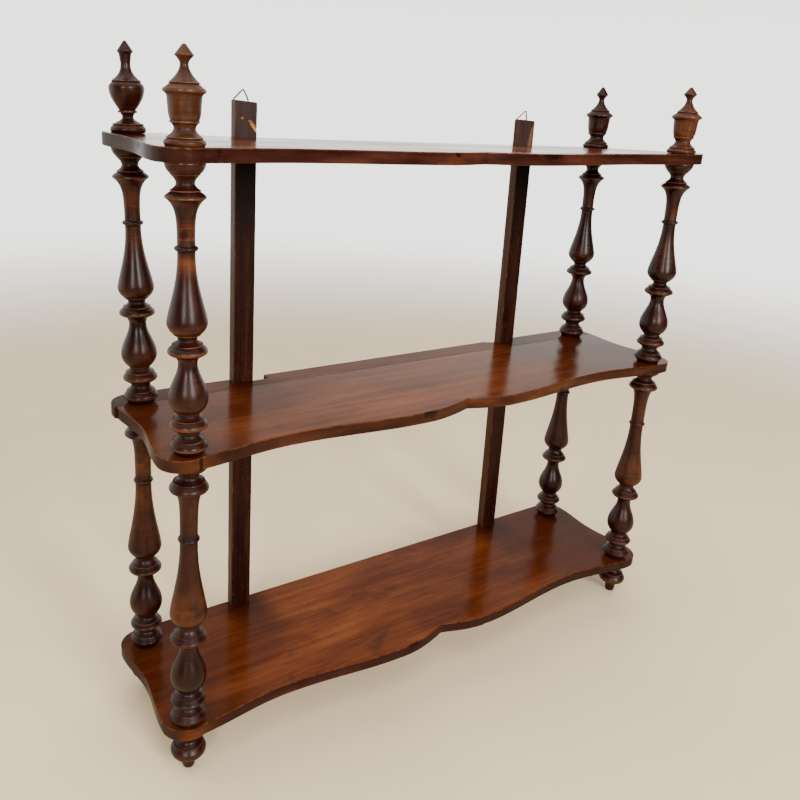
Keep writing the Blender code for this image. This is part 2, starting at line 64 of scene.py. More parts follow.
# Rails, nails and hangers, in millimetres
RAIL_WIDTH = 24.4
RAIL_THICKNESS = 13.0
NOTCH_CLEARANCE = 0.35
WIDE_NOTCH_EXTRA = 19.6
BROKEN_NOTCH_EXTRA = 22.0
RAIL_X = {"left": -200.0, "right": 215.0}
HEAD_SLANT = 0.07
RAIL_LEAN = {"left": 0.0, "right": -0.9}
HANGER_X = {"left": -0.6, "right": 1.6}
NAIL_LENGTH = 30.0
NAIL_PROUD = 0.15
STRAP_NAIL_LENGTH = 12.5
STRAP_NAIL_DROP = 14.0
STRAP_NAIL_PROUD = 0.8
STRAP_WIDTH = 9.0
STRAP_LENGTH = 24.0
STRAP_THICKNESS = 0.8
WIRE_RADIUS = 0.85
EYE_RADIUS = 1.85
HINGE_BELOW_HEAD = 10.5
SEAT_GAP = 0.3
RING_WIDTH = 17.2
RING_LEG = 11.8
RING_ROOF = 12.5
RING_LEAN = 5.0
RING_BEND = 25.0
RING_CORNER = 2.2

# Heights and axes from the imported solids, in millimetres
LEVELS = {}
for level in ("bottom", "middle", "top"):
    low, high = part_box(level + "_shelf")
    LEVELS[level] = (low.z / MM, high.z / MM)
BOTTOM_LOW, BOTTOM_HIGH = LEVELS["bottom"]
MIDDLE_LOW, MIDDLE_HIGH = LEVELS["middle"]
TOP_LOW, TOP_HIGH = LEVELS["top"]
BACK_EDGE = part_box("top_shelf")[1].y / MM
JOINT_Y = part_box("middle_shelf_back_strip")[0].y / MM
CORNERS = {}
for place in ("front_left", "front_right", "back_left", "back_right"):
    low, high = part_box("foot_" + place)
    CORNERS[place] = Vector(((low.x + high.x) / 2 / MM, (low.y + high.y) / 2 / MM, 0))
FRONT_Y = CORNERS["front_left"].y
BACK_Y = CORNERS["back_left"].y
FRONT_EDGE = FRONT_Y - FRONT_LOBE_RADIUS + FRONT_LOBE_BACK

# The back left upper column leans out and back, the middle shelf sits a little to the right of the others,
# the front left lower column stands out at its foot, and two boards have warped up at opposite corners
NO_SHIFT = Vector((0, 0, 0))
LEAN = Vector((-3.4, 2.9, 0))
MIDDLE_SHIFT = Vector((1.2, 0, 0))
MIDDLE_CUSP_SHIFT = 5.5
CUSP_SHIFT_REACH = 60.0
FOOT_SHIFT = {"front_left": Vector((-2.2, 0, 0))}
FLAT = {"back_left": 0.0, "front_right": 0.0}
MIDDLE_WARP = {"back_left": 1.8, "front_right": 0.7}
TOP_WARP = {"back_left": 3.2, "front_right": 2.6}
WARP_REACH = 260.0
WARP_PAST_AXIS = 1.1
RIGHT_PROUD = {"bottom": 1.2, "middle": 2.4, "top": 2.4}
LOBE_LOSS_REACH = 75.0
JOINT_GAP = 0.5
STRIP_PROUD = 2.2

# Worn edges and fineness of the meshes, lengths in millimetres
UPPER_ARRIS = 1.1
LOWER_ARRIS = 0.9
JOINT_SOFTNESS = 0.12
FACE_INSET = 3.0
ARRIS_STEPS = 5
END_STEPS = 36
LINE_STEP = 6.0
CURVE_STEP = 1.1
CURVE_STEPS = (5, 22)
CORNER_TURN = 0.3
TURNED_SOFTENING = 0.3
CRISP_WINDOW = 0.6
BROAD_WINDOW = 3.0
NAIL_WINDOW = 0.3
TURNED_SIDES = 64
NAIL_SIDES = 20
WIRE_SIDES = 14
BEND_STEPS = 8
RAIL_BACK_BEVEL = 0.5
RAIL_FRONT_BEVEL = 0.8
RAIL_FRONT_STEPS = 14
RAIL_FACE_STEPS = 4
RAIL_END_BEVEL = 0.5
RAIL_END_SCALE = 0.965
RAIL_HEAD = 48.0
SHAFT_RINGS = 220
HEAD_RINGS = 60
SHARP_DEG = 42
FLOOR_RADIUS = 3600.0
FLOOR_RINGS = 12
FLOOR_SIDES = 48


def clamp(value, low=0.0, high=1.0):
    return min(max(value, low), high)


def steps(count):
    """Shares of a length at the ends of equal steps along it."""
    return [i / count for i in range(1, count + 1)]


def neighbours(ring):
    """Each item of a closed ring, between the items before and after it."""
    return zip(ring[-1:] + ring[:-1], ring, ring[1:] + ring[:1])


def warp(x, y, lifts):
    """How far a warped board has lifted at a point of its plan."""
    depth = clamp((y - FRONT_Y) / (BACK_Y - FRONT_Y), high=WARP_PAST_AXIS)
    from_left = clamp(1 - (x - CORNERS["back_left"].x) / WARP_REACH, high=WARP_PAST_AXIS)
    from_right = clamp(1 - (CORNERS["front_right"].x - x) / WARP_REACH, high=WARP_PAST_AXIS)
    at_back = lifts["back_left"] * from_left ** 2 * depth
    at_front = lifts["front_right"] * from_right ** 2 * (WARP_PAST_AXIS - depth) / WARP_PAST_AXIS
    return at_back + at_front


# Turned members, each as (curve, height, radius it ends at) items from the top down, in millimetres

CURVES = {
    "line": lambda t: t,
    "ogee": lambda t: (1 - math.cos(math.pi * t)) / 2,
    "cove": lambda t: math.sin(math.pi * t / 2),
    "round": lambda t: 1 - math.cos(math.pi * t / 2),
    "bulb": lambda t: 1 - (1 - t * t) ** 1.35,
    "ball": lambda t: 1 - (1 - t * t) ** 0.9,
    "nose": lambda t: 1 - math.sqrt(1 - t * t),
    "flare": lambda t: t ** 2.6,
    "spread": lambda t: t ** 1.8,
    "trumpet": lambda t: (1 - math.exp(-5 * t)) / (1 - math.exp(-5)),
}


def neck(band, radius, step, cove, waist):
    """A narrow band, a quirk below it and the hollow that leads to the waist."""
    step_in = ("line", 0.2, radius - 0.1)
    return [step_in, ("line", band, radius), ("line", 0.15, radius + step), ("cove", cove, waist)]


def lip(radius):
    """A crisp edge with a quirk cut in under it."""
    edge = [("line", 0.2, radius), ("line", 0.8, radius + 0.1)]
    return edge + [("line", 0.25, radius - 0.7), ("line", 0.3, radius - 0.6)]


def bead(height, radius, swell):
    shoulder = radius + 0.35 * swell
    crown = [("cove", 0.45 * height, radius + swell), ("round", 0.55 * height, shoulder)]
    return [("line", 0.25, shoulder), *crown, ("line", 0.25, radius)]


def collar(rise, flare, edge, swell, rim, band, bevel=()):
    """A ring that flares to a crisp edge and swells out to its rim, after a bevel where it has one."""
    slope = [("line", *bevel)] if bevel else []
    return [("round", rise, flare), *lip(edge), *slope, ("cove", swell, rim), ("line", band, rim)]


def belly(curve, height, radius, band, drop, end):
    """A baluster's swelling, its widest band and the ball that draws in below it."""
    return [(curve, height, radius), ("line", band, radius), ("ball", drop, end)]


# Cutting lists from the top down; a height of None takes the remainder
CUP_RADIUS = 17.2
CUP = [("line", 1.3, 17.5), ("line", 0.25, 17.0)]

UPPER_COLUMN = CUP + [
    ("round", 7.2, 13.4), *neck(1.3, 12.7, -0.8, 6.8, 7.9),
    *collar(5.2, 12.1, 13.0, 4.8, 17.5, 0.6), ("line", 0.3, 16.6),
    ("trumpet", 35.0, 7.7), ("line", None, 7.7), *bead(4.0, 7.7, 2.7), ("line", 2.8, 7.7),
    *belly("bulb", 59.0, 17.9, 0.4, 10.2, 12.6), *neck(1.0, 12.1, -1.0, 4.0, 8.3),
    *collar(4.2, 13.0, 13.8, 5.0, 17.7, 0.8), ("round", 4.5, 10.8), ("cove", 5.6, 8.5),
    *belly("ogee", 33.4, 17.9, 0.4, 12.2, 11.6), *neck(1.0, 11.0, -0.6, 1.2, 9.7),
    *collar(3.6, 13.7, 14.5, 4.9, 17.4, 0.8), ("round", 4.4, 11.8), *neck(1.1, 10.9, -0.6, 1.9, 9.6),
    *collar(5.2, 13.7, 14.6, 4.9, 17.5, 0.9), ("round", 2.6, 15.4), ("line", 4.1, 13.0),
]

LOWER_COLUMN = CUP + [
    ("round", 4.4, 11.8), *neck(1.1, 10.9, -0.7, 3.0, 9.3),
    *collar(5.0, 13.9, 14.9, 5.8, 18.4, 0.7), ("round", 4.2, 12.4),
    ("trumpet", 40.2, 8.5), ("line", None, 8.5), *bead(4.0, 8.5, 2.0), ("line", 3.0, 8.5),
    *belly("bulb", 74.6, 18.2, 0.4, 11.4, 11.3), *neck(0.9, 10.6, -0.5, 1.8, 9.6),
    *collar(6.6, 13.6, 14.4, 1.7, 17.9, 0.7, bevel=(3.0, 16.8)), ("round", 5.6, 10.6), ("cove", 5.0, 8.7),
    *belly("ogee", 33.2, 17.9, 0.5, 14.6, 11.1), *neck(0.9, 10.4, -0.5, 1.2, 9.7),
    *collar(4.4, 13.8, 14.6, 1.5, 17.4, 0.6, bevel=(2.2, 16.4)), ("round", 4.6, 12.2),
    *neck(0.9, 11.2, -0.6, 1.6, 9.9),
    *collar(4.8, 14.0, 14.9, 1.6, 18.0, 0.7, bevel=(2.8, 16.9)), ("round", 3.0, 15.6), ("line", 5.6, 13.2),
]

CUP_FINIAL = [
    ("cove", 0.8, 1.7), ("line", 7.6, 7.7), ("line", 0.6, 7.8), ("cove", 6.6, 3.5),
    ("spread", 13.4, 11.8), *lip(12.6), ("line", 4.2, 17.5), ("line", 1.8, 17.7),
    ("cove", 3.4, 14.3), ("line", 10.8, 13.5), ("round", 8.3, 11.7), *neck(1.4, 12.4, -1.2, 4.2, 9.0),
    ("round", 6.6, 14.3), *lip(15.2), ("cove", 3.2, 17.4), ("round", 2.8, 16.0),
]

TALL_FINIAL = [("cove", 0.8, 1.7), ("line", 9.2, 7.7)] + CUP_FINIAL[2:]

URN_FINIAL = [
    ("cove", 0.8, 1.5), ("line", 8.6, 7.4), ("line", 0.5, 7.5), ("cove", 2.5, 5.6), ("line", 7.5, 4.6),
    ("flare", 15.4, 13.0), *lip(13.7), ("cove", 5.1, 16.4), ("line", 0.5, 16.4),
    ("round", 20.0, 7.4), *neck(1.9, 9.0, -2.0, 3.9, 5.2),
    ("round", 5.8, 12.8), *lip(14.7), ("cove", 4.2, 16.7), ("round", 2.9, 15.0),
]

FOOT_TOP_RADIUS = 14.5
FOOT = [
    ("cove", None, 9.0), *collar(5.0, 13.8, 14.7, 6.6, 17.9, 0.5),
    ("nose", 7.2, 8.2), ("line", 1.2, 7.6), ("line", 12.6, 5.9), ("round", 1.2, 4.6),
]

NAIL = [
    ("cove", 0.35, 1.9), ("line", 0.15, 2.0), ("line", 0.3, 1.9), ("line", 0.05, 0.9),
    ("line", None, 0.9), ("line", 1.8, 0.25),
]


# Meshes

def put_in_scene(name, data):
    thing = bpy.data.objects.new(name, data)
    bpy.context.scene.collection.objects.link(thing)
    return thing


def new_piece(name, points, faces, values, material):
    """A smooth-shaded piece from millimetre points, with a number per point for each named value."""
    mesh = bpy.data.meshes.new(name)
    mesh.from_pydata([Vector(p) * MM for p in points], [], faces)
    for key, numbers in values.items():
        attribute = mesh.attributes.new(key, "FLOAT", "POINT")
        attribute.data.foreach_set("value", numbers)
    mesh.polygons.foreach_set("use_smooth", [True] * len(mesh.polygons))
    mesh.set_sharp_from_angle(angle=math.radians(SHARP_DEG))
    mesh.materials.append(material)
    return put_in_scene(name, mesh)


def look(name, points, faces, values, finish, matrix, body="etagere"):
    """The piece that stands for a solid and moves with its body; a finish is (material, slot)."""
    material, slot = finish
    piece = new_piece(name + "_look", points, faces, values, material)
    piece.matrix_world = matrix
    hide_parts(name)
    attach(piece, body)


def bands(rings, count, first=0, rising=False, looped=False):
    """Faces between neighbouring rings of count points each; the first ring starts at the point first."""
    faces = []
    for k in range(rings if looped else rings - 1):
        here = first + k * count
        following = first + (k + 1) % rings * count
        for i in range(count):
            j = (i + 1) % count
            if rising:
                faces.append((here + i, here + j, following + j, following + i))
            else:
                faces.append((here + i, following + i, following + j, here + j))
    return faces


def circle(radius, z, sides):
    """Points of a circle round Z."""
    angles = [2 * math.pi * i / sides for i in range(sides)]
    return [(radius * math.cos(angle), radius * math.sin(angle), z) for angle in angles]


def steps_of(curve, reach):
    """How many straight steps stand for one curve of an outline."""
    if curve == "line":
        return max(1, round(reach / LINE_STEP))
    return clamp(round(reach / CURVE_STEP), *CURVE_STEPS)


def turning(top_radius, members, length):
    """A turning's outline as (radius, height) points from its top down."""
    spare = length - sum(height for _, height, _ in members if height is not None)
    radius = top_radius
    z = length
    points = [(radius, z)]
    for curve, height, end_radius in members:
        drop = spare if height is None else height
        count = steps_of(curve, math.hypot(drop, end_radius - radius))
        for t in steps(count):
            points.append((radius + (end_radius - radius) * CURVES[curve](t), z - drop * t))
        radius = end_radius
        z -= drop
    return points


def soften(points, reach):
    """Rounds the corners of an outline a little, as handling does."""
    smooth = [points[0]]
    for before, here, after in zip(points, points[1:], points[2:]):
        first = Vector(here) - Vector(before)
        second = Vector(after) - Vector(here)
        if first.angle(second) < CORNER_TURN:
            smooth.append(here)
            continue
        enter = Vector(here) - first * min(reach / first.length, 0.4)
        leave = Vector(here) + second * min(reach / second.length, 0.4)
        middle = (enter + leave) / 4 + Vector(here) / 2
        smooth += [tuple(enter), tuple(middle), tuple(leave)]
    return smooth + [points[-1]]


def relief(points, window):
    """How far an outline turns outwards (ridges) and inwards (hollows) near each point."""
    travel = [0.0]
    for a, b in zip(points, points[1:]):
        travel.append(travel[-1] + math.dist(a, b))

    def along(distance):
        distance = clamp(distance, high=travel[-1])
        k = 1
        while k < len(points) - 1 and travel[k] < distance:
            k += 1
        share = (distance - travel[k - 1]) / max(travel[k] - travel[k - 1], 1e-9)
        return Vector(points[k - 1]).lerp(Vector(points[k]), share)

    ridges = []
    hollows = []
    for point, distance in zip(points, travel):
        first = Vector(point) - along(distance - window)
        second = along(distance + window) - Vector(point)
        turn = math.atan2(first.x * second.y - first.y * second.x, first.dot(second))
        ridges.append(clamp((-turn - 0.55) / 0.6))
        hollows.append(clamp((turn - 0.15) / 1.1))
    return ridges, hollows


def rims(points):
    """How near each point of an outline is to the crown of a narrow ring."""
    shares = []
    for radius, z in points:
        above = [r for r, other in points if 0 <= other - z < 8]
        below = [r for r, other in points if 0 <= z - other < 8]
        crown = max(r for r, other in points if abs(other - z) < 4)
        narrow = min(above) < radius - 3 and min(below) < radius - 3
        shares.append(max(0, 1 - (crown - radius) / 0.8) if narrow else 0.0)
    return shares


def lathe(outline, sides):
    """Points and faces of an outline spun round Z; its ends are closed at the axis."""
    points = [(0, 0, outline[0][1])]
    for radius, z in outline:
        points += circle(radius, z, sides)
    points.append((0, 0, outline[-1][1]))
    faces = bands(len(outline), sides, first=1)
    last = 1 + (len(outline) - 1) * sides
    for i in range(sides):
        j = (i + 1) % sides
        faces.append((0, 1 + i, 1 + j))
        faces.append((last + i, len(points) - 1, last + j))
    return points, faces


def per_ring(numbers, sides):
    """One number for each ring of a spun outline, spread over its points and its two ends."""
    spread = [numbers[0]]
    for number in numbers:
        spread += [number] * sides
    return spread + [numbers[-1]]


def turned(name, top_radius, members, foot, head, seed, rubs, wear, wood):
    """A turned piece between two points of its axis; rubs are (height, reach, strength) of rubbed polish."""
    axis = head - foot
    outline = soften(turning(top_radius, members, axis.length), TURNED_SOFTENING)
    ridges, hollows = relief(outline, CRISP_WINDOW)
    _, broad_hollows = relief(outline, BROAD_WINDOW)
    rubbed = []
    for _, z in outline:
        rubbed.append(sum(k * math.exp(-(((z - height) / reach) ** 2)) for height, reach, k in rubs))
    rings = {
        "wear": [(0.3 + 0.7 * wear) * ridge for ridge in ridges],
        # Hollows and coves get dirt and painted shade, darkest in the sharp quirks
        "grime": [min(crisp + 0.5 * broad, 1) for crisp, broad in zip(hollows, broad_hollows)],
        "patch": rubbed,
        # Crowns of narrow rings: worn wood and a painted highlight
        "rim": [0.8 * wear * share for share in rims(outline)],
        "seed": [seed] * len(outline),
    }
    values = {key: per_ring(numbers, TURNED_SIDES) for key, numbers in rings.items()}
    tilt = Vector((0, 0, 1)).rotation_difference(axis).to_matrix().to_4x4()
    look(name, *lathe(outline, TURNED_SIDES), values, wood, Matrix.Translation(foot * MM) @ tilt)


def inward(outline):
    """Mitred inward normals of a closed outline that runs anticlockwise."""
    normals = []
    for before, here, after in neighbours([Vector(point) for point in outline]):
        first = (here - before).normalized()
        second = (after - here).normalized()
        a = Vector((-first.y, first.x))
        b = Vector((-second.y, second.x))
        normals.append((a + b) / max(1 + a.dot(b), 0.4))
    return normals


def plate_layers(thickness):
    """Rings of a board's edge from the top down: inset, height, wear, share of edge, share of underside."""
    layers = [(FACE_INSET, thickness, 0.0, 0.0, 0.0), (UPPER_ARRIS + 0.4, thickness, 0.1, 0.0, 0.0)]
    angles = [math.radians(90 * i / ARRIS_STEPS) for i in range(ARRIS_STEPS + 1)]
    for i, angle in enumerate(angles):
        inset = UPPER_ARRIS * (1 - math.sin(angle))
        height = thickness - UPPER_ARRIS * (1 - math.cos(angle))
        wear = math.sin(2 * angle) ** 0.5 if 0 < i < ARRIS_STEPS else 0.3
        layers.append((inset, height, wear, i / ARRIS_STEPS, 0.0))
    for height in (thickness - UPPER_ARRIS - 1.0, thickness / 2, LOWER_ARRIS + 1.0):
        layers.append((0.0, height, 0.0, 1.0, 0.0))
    for i, angle in enumerate(angles):
        inset = LOWER_ARRIS * (1 - math.cos(angle))
        height = LOWER_ARRIS * (1 - math.sin(angle))
        layers.append((inset, height, 0.5 * math.sin(2 * angle), 1.0, i / ARRIS_STEPS))
    return layers + [(FACE_INSET, 0.0, 0.0, 0.0, 1.0)]


def plate(outline, layers, seed, softness=None, chips=(), rubs=()):
    """Points, faces and values of a plate with rounded, slightly uneven edges.

    Chips are (x, half width, depth, share of the height) along the front edge, from the underside up, or from
    the top down where the share is negative; rubs are (x, y, reach, strength) of polish rubbed off."""
    normals = inward(outline)
    softness = softness or [1.0] * len(outline)
    thickness = layers[0][1]
    points = []
    rows = []
    for inset, z, wear, side, under in layers:
        for (x, y), normal, soft in zip(outline, normals, softness):
            uneven = 1 + 0.35 * noise.noise(Vector((x, y, seed * 37)) / 23)
            depth = inset * (uneven if inset < FACE_INSET else 1) * soft
            worst = 0.0
            for centre, half, deep, reach in chips:
                if normal.y < 0.5 or abs(x - centre) > half:
                    continue
                level = z / thickness if reach > 0 else 1 - z / thickness
                bite = (1 - ((x - centre) / half) ** 2) * max(0, 1 - level / abs(reach))
                ragged = 0.75 + 0.5 * noise.noise(Vector((x, z, seed * 11)) / 1.7)
                worst = max(worst, bite)
                depth += deep * bite * ragged
            points.append((x + normal.x * depth, y + normal.y * depth, z))
            rubbed = sum(k * math.exp(-(math.dist((x, y), (a, b)) / r) ** 2) for a, b, r, k in rubs)
            rows.append((wear * soft, side, under, min(1, 1.6 * worst), min(rubbed, 1), seed))
    values = dict(zip(("wear", "side", "under", "chip", "rub", "seed"), zip(*rows)))
    count = len(outline)
    last = (len(layers) - 1) * count
    faces = [tuple(range(count)), *bands(len(layers), count)]
    faces.append(tuple(last + i for i in reversed(range(count))))
    return points, faces, values


# Shelves

def sweep(start, end, ease, count):
    (x, y), (end_x, end_y) = start, end
    return [(x + (end_x - x) * t, y + (end_y - y) * ease(t)) for t in steps(count)]


def arc(x, y, radius, first_deg, last_deg, count):
    points = []
    for i in range(count + 1):
        angle = math.radians(first_deg + (last_deg - first_deg) * i / count)
        points.append((x + radius * math.cos(angle), y + radius * math.sin(angle)))
    return points


def late_ogee(t):
    """An S-curve that is still rising a little where it ends."""
    return (1 - math.cos(0.8 * math.pi * t)) / (1 - math.cos(0.8 * math.pi))


def half_outline(overhang):
    """Half of a shelf's edge, from the cusp round to its back corner, as if it were the right half."""
    cusp = (0, FRONT_EDGE + CUSP_DEPTH)
    peak = (PEAK_X, FRONT_EDGE + PEAK_DEPTH)
    trough = (HALF_SPACING - TROUGH_IN, FRONT_EDGE + TROUGH_DEPTH)
    lobe_x = HALF_SPACING + FRONT_LOBE_OUT
    lobe_y = FRONT_Y + FRONT_LOBE_BACK
    end_x = HALF_SPACING + overhang
    outer_x = end_x - FRONT_LOBE_RADIUS
    corner_y = BACK_Y + BACK_LOBE_BACK
    quirk_deg = -90 - math.degrees(math.asin((FRONT_LOBE_OUT + QUIRK_IN) / FRONT_LOBE_RADIUS))
    lobe = arc(lobe_x, lobe_y, FRONT_LOBE_RADIUS, quirk_deg, -90, 8)
    outer = arc(outer_x, lobe_y, FRONT_LOBE_RADIUS, -90, 0, 26)
    lobe += outer if outer_x > lobe_x else outer[1:]
    points = [cusp]
    points += sweep(cusp, peak, CURVES["cove"], 30)
    points += sweep(peak, trough, CURVES["ogee"], 70)
    points += sweep(trough, lobe[0], late_ogee, 44)[:-1]
    points += lobe
    for t in steps(END_STEPS)[:-1]:
        hollow = END_HOLLOW * math.sin(math.pi * t) ** 2
        points.append((end_x - hollow, lobe_y + (corner_y - lobe_y) * t))
    return points + arc(end_x - BACK_LOBE_RADIUS, corner_y, BACK_LOBE_RADIUS, 0, 90, 24)


def rail_centre(side, z):
    """Where a rail's centre line crosses the height z."""
    return MIDDLE_X + RAIL_X[side] + math.tan(math.radians(RAIL_LEAN[side])) * (z - BOTTOM_LOW)


def notch(side, level, wide=0.0, broken=0.0):
    """A rail's notch in a shelf's back edge, from right to left; its left side may be broken away."""
    half = RAIL_WIDTH / 2 + NOTCH_CLEARANCE
    centres = [rail_centre(side, z) for z in LEVELS[level]]
    left = min(centres) - half
    right = max(centres) + half + wide
    floor = BACK_EDGE - RAIL_THICKNESS - NOTCH_CLEARANCE
    points = [(right, BACK_EDGE), (right, floor), (left, floor)]
    if broken:
        points += [(left - 0.25 * broken, BACK_EDGE - 8.0), (left - 0.6 * broken, BACK_EDGE - 4.5)]
    return points + [(left - broken, BACK_EDGE)]


def shelf_outline(level, shift=0.0, wide=0.0, broken=0.0, lobe_loss=(0.0, 0.0), proud=0.0, cusp=0.0):
    """A shelf's edge, anticlockwise from its cusp.

    Its front left lobe is drawn in by lobe_loss and its left end out by proud; its cusp is moved by cusp."""
    right = [(MIDDLE_X + x + shift, y) for x, y in half_outline(RIGHT_OVERHANG + RIGHT_PROUD[level])]
    lobe = (HALF_SPACING + 10, FRONT_Y - 10)
    left = []
    for x, y in reversed(half_outline(LEFT_OVERHANG + proud)[1:]):
        near = max(0, 1 - math.dist((x, y), lobe) / LOBE_LOSS_REACH)
        ease = near * near * (3 - 2 * near)
        left.append((MIDDLE_X - x + shift + lobe_loss[0] * ease, y + lobe_loss[1] * ease))
    back = notch("right", level, broken=broken) + notch("left", level, wide=wide)
    moved = []
    for x, y in right + back + left:
        in_front = y < FRONT_Y + 20
        near = math.exp(-(((x - MIDDLE_X - shift) / CUSP_SHIFT_REACH) ** 2)) if in_front else 0
        moved.append((x + cusp * near, y))
    return moved


def keep_side(outline, y_line, side):
    """The part of an outline on one side of a line along X: side is -1 for the front, 1 for the back."""
    kept = []
    for i, end in enumerate(outline):
        start = outline[i - 1]
        start_in = (start[1] - y_line) * side > 0
        end_in = (end[1] - y_line) * side > 0
        if start_in != end_in:
            t = (y_line - start[1]) / (end[1] - start[1])
            kept.append((start[0] + (end[0] - start[0]) * t, y_line))
        if end_in:
            kept.append(end)
    return kept


def shelf(name, level, outline, seed, wood, lift=FLAT, chips=(), rubs=(), joint=None):
    """A shelf board, warped by lift; its edge on the joint line stays crisp."""
    low, high = LEVELS[level]
    softness = [JOINT_SOFTNESS if joint is not None and abs(y - joint) < 0.01 else 1.0 for _, y in outline]
    flat, faces, values = plate(outline, plate_layers(high - low), seed, softness, chips, rubs)
    points = [(x, y, z + warp(x, y, lift)) for x, y, z in flat]
    look(name, points, faces, values, wood, Matrix.Translation((0, 0, low * MM)))


# Rails, nails and hangers

def rail_frame(side):
    """A rail's own frame: origin at its foot on its back face, Z up the rail."""
    foot = Vector((MIDDLE_X + RAIL_X[side], BACK_EDGE, BOTTOM_LOW)) * MM
    return Matrix.Translation(foot) @ Matrix.Rotation(math.radians(RAIL_LEAN[side]), 4, "Y")


def rail_length(side):
    low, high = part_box("back_rail_" + side)
    lean = math.radians(abs(RAIL_LEAN[side]))
    return ((high.z - low.z) / MM - RAIL_WIDTH * math.sin(lean)) / math.cos(lean)


def rail_section(z, seed):
    """One section of a rail as (point, wear, side) items: worn corners, and points along each face."""
    half = RAIL_WIDTH / 2
    front = -RAIL_THICKNESS
    corners = [Vector(spot) for spot in ((half, 0), (-half, 0), (-half, front), (half, front))]
    ring = []
    for i, (before, here, after) in enumerate(neighbours(corners)):
        bevel = RAIL_FRONT_BEVEL if here.y < 0 else RAIL_BACK_BEVEL
        rough = noise.noise(Vector((i * 9.1, seed, z / 19)))
        rough += 0.6 * noise.noise(Vector((i * 5.3, seed, z / 4)))
        cut = bevel * (1 + 0.55 * rough)
        to_before = (before - here).normalized()
        to_after = (after - here).normalized()
        side_before = 1.0 if abs(to_before.y) > 0.5 else 0.0
        side_after = 1.0 - side_before
        ring.append((here + to_before * cut, 0.2, side_before))
        ring.append((here + (to_before + to_after) * cut * 0.36, 1.0, 0.5))
        ring.append((here + to_after * cut, 0.2, side_after))
        count = RAIL_FRONT_STEPS if i == 2 else RAIL_FACE_STEPS
        for k in range(1, count):
            ring.append((here.lerp(after, k / count), 0.0, side_after))
    return ring


def scarred(spot, z, seed, scars):
    """A point of a rail's section, pushed in where a splinter is torn from the front, and how bare it is."""
    raw = 0.0
    for across, height, wide, tall, slant, deep, bare in scars:
        if spot.y > -RAIL_THICKNESS + 1.5:
            continue
        u = (spot.x - across + slant * (z - height)) / wide
        v = (z - height) / tall
        ragged = 1 + 0.35 * noise.noise(Vector((spot.x / 1.5, z / 2.2, seed)))
        bite = max(0, 1 - (u * u + v * v) * ragged)
        raw = max(raw, bare * min(1, 2.2 * bite))
        spot = spot + Vector((0, deep * bite))
    return spot, raw


def stations(start, end, count):
    return [start + (end - start) * i / count for i in range(1, count + 1)]


def rail(side, seed, scars, wood):
    """A sawn rail with worn arrises, slightly uneven faces and splinters torn from its front.

    Scars are (across, height, half width, half height, slant, depth, bareness) on the front face."""
    length = rail_length(side)
    head = length - RAIL_HEAD
    heights = [0.0, RAIL_END_BEVEL, *stations(RAIL_END_BEVEL, head, SHAFT_RINGS)]
    heights += [*stations(head, length - RAIL_END_BEVEL, HEAD_RINGS), length]
    middle = Vector((0, RAIL_THICKNESS / 2))
    points = []
    rows = []
    for z in heights:
        end = z in (0.0, length)
        for spot, wear, edge in rail_section(z, seed):
            spot, raw = scarred(spot, z, seed, scars)
            spot = (spot + middle) * (RAIL_END_SCALE if end else 1.0) - middle
            wave = 0.12 * noise.noise(Vector((spot.x / 6, spot.y / 6 + seed, z / 30)))
            slant = -HEAD_SLANT * spot.x * max(0, (z - head) / (length - head)) ** 2
            points.append((spot.x + wave, min(spot.y + wave, 0.0), z + slant))
            rows.append((1.0 if end else wear, edge, raw, seed))
    values = dict(zip(("wear", "side", "chip", "seed"), zip(*rows)))
    count = len(points) // len(heights)
    last = len(points) - count
    faces = [tuple(reversed(range(count))), *bands(len(heights), count, rising=True)]
    faces.append(tuple(last + i for i in range(count)))
    look("back_rail_" + side, points, faces, values, wood, rail_frame(side))


def nail(name, side, place, length):
    """A cut nail with a low domed head, driven in from the back of a rail."""
    outline = turning(0.0, NAIL, length)
    points, faces = lathe(outline, NAIL_SIDES)
    ridges, hollows = relief(outline, NAIL_WINDOW)
    values = {
        "wear": per_ring(ridges, NAIL_SIDES),
        "grime": per_ring(hollows, NAIL_SIDES),
        "seed": [length] * len(points),
    }
    sunk = [(x, y, z - length) for x, y, z in points]
    into = Matrix.Translation(Vector(place) * MM) @ Matrix.Rotation(math.radians(-90), 4, "X")
    look(name, sunk, faces, values, STEEL, rail_frame(side) @ into)


def hinge_frame(side, hinge_z):
    """A rail's frame, moved up to its hanger's hinge."""
    return rail_frame(side) @ Matrix.Translation(Vector((HANGER_X[side], 0, hinge_z)) * MM)


def hanger_strap(side, hinge_z):
    """A folded strip behind the rail's head, its top curled round the wire."""
    far = SEAT_GAP + STRAP_THICKNESS
    tip = SEAT_GAP + STRAP_THICKNESS / 2
    eye = SEAT_GAP + EYE_RADIUS
    outline = [(far, -STRAP_LENGTH + 0.2), (tip, -STRAP_LENGTH), (SEAT_GAP, -STRAP_LENGTH + 0.2)]
    outline += arc(eye, 0, EYE_RADIUS, 180, -128, 40)
    outline += arc(eye, 0, EYE_RADIUS - STRAP_THICKNESS, -128, 180, 40)
    outline.append((far, -2.0))
    outline.reverse()
    edge = [(0.35, 0.0, 0.0), (0.06, 0.0, 1.0), (0.0, 0.1, 1.0)]
    sections = [(inset, STRAP_WIDTH - drop, wear) for inset, drop, wear in edge]
    sections += [(0.0, STRAP_WIDTH / 2, 0.0), *reversed(edge)]
    layers = [(inset, z, wear, 0.0, 0.0) for inset, z, wear in sections]
    flat, faces, values = plate(outline, layers, seed=3.0)
    values = {"wear": values["wear"], "grime": [0.0] * len(flat), "seed": values["seed"]}
    points = [(across - STRAP_WIDTH / 2, depth, up) for depth, up, across in flat]
    look("hanger_strap_" + side, points, faces, values, STEEL, hinge_frame(side, hinge_z))


